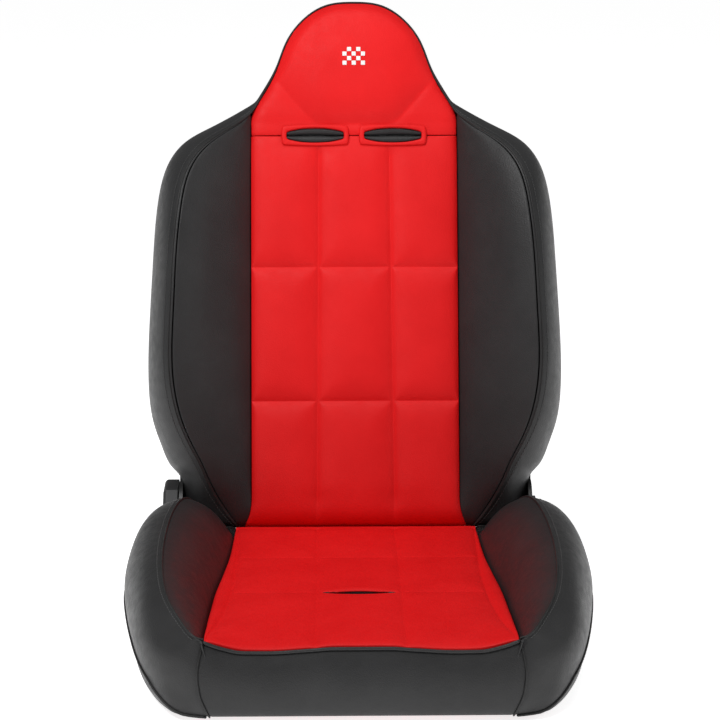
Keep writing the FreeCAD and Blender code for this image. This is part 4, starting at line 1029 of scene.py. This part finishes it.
def strap_dip(x, y, z):
    """Opens the lap strap slot: the rear lip rises and the rows beside it part into a lens."""
    inside = np.clip(1 - (x / STRAP_X) ** 2, 0, 1)
    near = np.exp(-((y - STRAP_Y) / 16.0) ** 2)
    side = np.sign(y - STRAP_Y + 0.01)
    part = side * inside * near * 5.0 * (np.abs(y - STRAP_Y) < 26)
    lift = 2.2 * inside * np.exp(-((y - STRAP_Y - 6) / 9.0) ** 2)
    dip = 1.0 * inside * np.exp(-((y - STRAP_Y + 5) / 6.0) ** 2)
    return z + lift - dip, y + part


def strap_sleeve():
    """The black lining of the lap strap slot."""
    share = np.linspace(0, 2 * math.pi, 49)[:-1]
    loop = np.stack([(STRAP_X + 1.0) * np.cos(share), STRAP_Y + 5.8 * np.sin(share)], axis=1)
    top = float(pad_top(STRAP_Y))
    rings = [np.column_stack([loop * [1, 1], np.full(len(loop), z)]) for z in (top + 0.5, top - 3, top - 18, top - 42)]
    grid = np.array(rings)
    faces = [face[::-1] for face in grid_faces(4, len(loop), closed=True)]
    made = piece("strap_slot_sleeve", grid.reshape(-1, 3), faces, "base", "trim_black")
    thick = made.modifiers.new("thickness", "SOLIDIFY")
    thick.thickness, thick.offset = 0.0012, 1.0
    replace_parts(made, "strap_slot_trim")
    return made


def front_skirt():
    """The black front roll of the cushion, with a welt along its wavy upper edge."""
    columns = graded(-1, 1, 0.03)
    rows = np.linspace(0, 1, 30)
    grid = np.zeros((len(rows), len(columns), 3))
    for j, place in enumerate(columns):
        top = float(smooth([(-x0, z0) for x0, z0 in FRONT_EDGE[1:]] + list(FRONT_EDGE), place * 186.0)) - 1.5
        for i, share in enumerate(rows):
            z = top + (HEM_Z - top) * share
            half = smooth(SEAM_CURVE, min(max(z, 8.0), 105.0))
            grid[i, j] = (half * place, skirt_y(share, place), z)
    sewn = np.zeros(grid.shape[:2], bool)
    sewn[0], sewn[-1], sewn[:, 0], sewn[:, -1] = True, True, True, True
    grid = inflate("skirt", grid, sewn, 0.8, 2.0, np.array([0, -1.0, 0]))
    turned = np.concatenate([grid[:1] + [0, 11.0, -6.0], grid[:1] + [0, 5.0, -2.0], grid])
    made = panel("front_skirt_panel", turned, "base", "black_vinyl", np.array([0, -1.0, 0]))
    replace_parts(made, "front_skirt")
    tube("skirt_welt", even(grid[0] + [0, -1.2, 1.2], 4.0), 2.1, "base", "black_vinyl", 10)
    for sign, name in SIDE_NAMES.items():
        edge = grid[:, -1 if sign > 0 else 0]
        tube(f"skirt_seam_{name}", even(edge + [0, -0.4, 0], 4.0), 1.1, "base", "trim_black", 8)


def head_patch(head):
    """A plain embroidered chequer on the headrest: raised squares that follow its surface."""
    local = np.stack([(head - JUNCTION) @ axis for axis in (np.array([1.0, 0, 0]), FORWARD, UP)], axis=-1)
    local = local.reshape(-1, 3)
    columns, rows, size, first_s = 5, 4, 6.4, 644.0
    cuts = np.linspace(0.25, size - 0.25, 5)
    vertices, faces = [], []
    for row in range(rows):
        for column in range(columns):
            if (row + column) % 2:
                continue
            base = len(vertices)
            for ds in cuts:
                for dx in cuts:
                    x, s = (column - columns / 2) * size + dx, first_s + row * size + ds
                    away = (local[:, 0] - x) ** 2 + (local[:, 2] - s) ** 2
                    near = np.argsort(away)[:4]
                    q = np.average(local[near, 1], weights=1 / (away[near] + 1.0))
                    vertices.append((x, q + 0.35, s))
            faces += [tuple(base + 5 * i + j + step for step in (0, 1, 6, 5)) for i in range(4) for j in range(4)]
    made = piece("head_patch", to_row(vertices), faces, "backrest", "patch_white")
    thick = made.modifiers.new("thickness", "SOLIDIFY")
    thick.thickness, thick.offset = 0.0011, 0.0
    bevel = made.modifiers.new("edge", "BEVEL")
    bevel.width, bevel.segments = 0.0004, 2
    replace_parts(made, "head_badge")


def slot_sleeve(sign):
    """The black lining of a harness slot, through to the rear panel, with a rolled rear lip."""
    share, half = lens()
    middle, reach = (SLOT_IN + SLOT_OUT) / 2, (SLOT_OUT - SLOT_IN) / 2
    upper = np.stack([middle + reach * share, half], axis=1)
    hole = np.vstack([upper, upper[::-1] * [1, -1]])
    rings = []
    for q, grow in ((-2.5, -0.6), (-12, -0.9), (-34, -0.9), (REAR_Q + 3, -0.6), (REAR_Q - 0.5, 0.6),
                    (REAR_Q - 1.8, 3.0), (REAR_Q - 1.2, 6.0), (REAR_Q + 1.0, 6.8)):
        centred = hole - [middle, 0]
        edge = centred + grow * np.sign(centred)
        rings.append(np.column_stack([sign * (edge[:, 0] + middle), np.full(len(hole), q), edge[:, 1] + SLOT_S]))
    grid = to_row(np.array(rings))
    faces = grid_faces(len(rings), len(hole), closed=True)
    if sign < 0:
        faces = [face[::-1] for face in faces]
    made = piece("slot_sleeve_" + SIDE_NAMES[sign], grid.reshape(-1, 3), faces, "backrest", "trim_black")
    thick = made.modifiers.new("thickness", "SOLIDIFY")
    thick.thickness, thick.offset = 0.0012, -1.0
    subdivide(made, 1)
    return made


def map_pocket():
    """A gathered pocket on the rear panel, with an elastic hem at its mouth."""
    half, low, high = 126.0, 112.0, 330.0
    x, s = np.meshgrid(np.linspace(-half, half, 41), np.linspace(low, high, 31))
    across, up = 1 - (x / half) ** 2, (s - low) / (high - low)
    edge = np.minimum((half - np.abs(x)) / 14.0, (s - low) / 14.0)
    swell = 10.5 * np.clip(edge, 0, 1) ** 0.6 * (0.55 + 0.45 * across)
    gather = 0.7 * np.sin(x * 0.33) * up ** 3 * np.clip(edge, 0, 1)
    q = REAR_Q - 3.2 - swell - gather
    s = s - 5.0 * across * up ** 4
    grid = to_row(np.stack([x, q, s], axis=-1))
    made = panel("map_pocket_front", grid, "backrest", "panel_vinyl", -FORWARD, thickness=1.6)
    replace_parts(made, "map_pocket")
    tube("map_pocket_hem", even(grid[-1], 4.0), 2.2, "backrest", "trim_black", 8)
    border = np.vstack([grid[::-1, 0], grid[0, 1:-1], grid[:, -1]])
    tube("map_pocket_binding", even(border, 4.0), 1.5, "backrest", "trim_black", 8)


# ---------------------------------------------------------------- carried-over parts
def dress_frame():
    """Gives each CAD node that still shows its material."""
    slots = {sub["node"]: sub["material_slot"] for sub in frame["record"]["subparts"]}
    for name, node in frame["nodes"].items():
        material = MATERIALS.get(slots[name])
        if material is not None:
            node.data.materials.clear()
            node.data.materials.append(material)


# ---------------------------------------------------------------- studio
def area_light(name, place, target, size, power):
    data = bpy.data.lights.new(name, "AREA")
    data.shape, data.size, data.size_y, data.energy = "RECTANGLE", size[0], size[1], power
    made = bpy.data.objects.new(name, data)
    bpy.context.scene.collection.objects.link(made)
    aim(made, place, target)


def aim(made, place, target):
    made.location = place
    direction = np.array(target, float) - np.array(place, float)
    from mathutils import Vector
    made.rotation_euler = Vector(direction).to_track_quat("-Z", "Y").to_euler()


def studio():
    floor = piece_floor()
    world = bpy.data.worlds.new("studio")
    bpy.context.scene.world = world
    world.use_nodes = True
    world.node_tree.nodes["Background"].inputs["Color"].default_value = (1, 1, 1, 1)
    world.node_tree.nodes["Background"].inputs["Strength"].default_value = 0.19
    bpy.context.scene.view_settings.view_transform = "Standard"
    area_light("key", (-1.05, -1.2, 2.4), (0, 0.2, 0.5), (0.9, 0.9), 42)
    area_light("fill", (2.3, -0.7, 1.4), (0, 0, 0.3), (1.0, 1.6), 9)
    area_light("top", (0.1, -0.2, 2.6), (0, 0.2, 0.3), (1.8, 0.9), 17)


def piece_floor():
    mesh = bpy.data.meshes.new("floor")
    size = 40.0
    mesh.from_pydata([(-size, -size, 0), (size, -size, 0), (size, size, 0), (-size, size, 0)], [], [(0, 1, 2, 3)])
    material, nodes, links, shader = new_material("floor")
    shader.inputs["Base Color"].default_value = (0.92, 0.92, 0.92, 1)
    shader.inputs["Roughness"].default_value = 0.9
    shader.inputs["Emission Color"].default_value = (1, 1, 1, 1)
    shader.inputs["Emission Strength"].default_value = 0.8
    mesh.materials.append(material)
    floor = bpy.data.objects.new("floor", mesh)
    bpy.context.scene.collection.objects.link(floor)
    return floor


def camera():
    data = bpy.data.cameras.new("camera")
    data.sensor_width, data.lens = 36.0, 122.5
    made = bpy.data.objects.new("camera", data)
    bpy.context.scene.collection.objects.link(made)
    azimuth, elevation, distance = math.radians(-0.9), math.radians(15.0), 3.15
    target = np.array([0.0032, 0.060, 0.355])
    away = np.array([math.sin(azimuth) * math.cos(elevation), -math.cos(azimuth) * math.cos(elevation),
                     math.sin(elevation)])
    aim(made, target + away * distance, target)
    bpy.context.scene.camera = made


def main():
    dress_frame()
    back_upholstery()
    base_bolsters()
    cushion_pad()
    rear_apron()
    strap_sleeve()
    front_skirt()
    studio()
    camera()


main()
import json
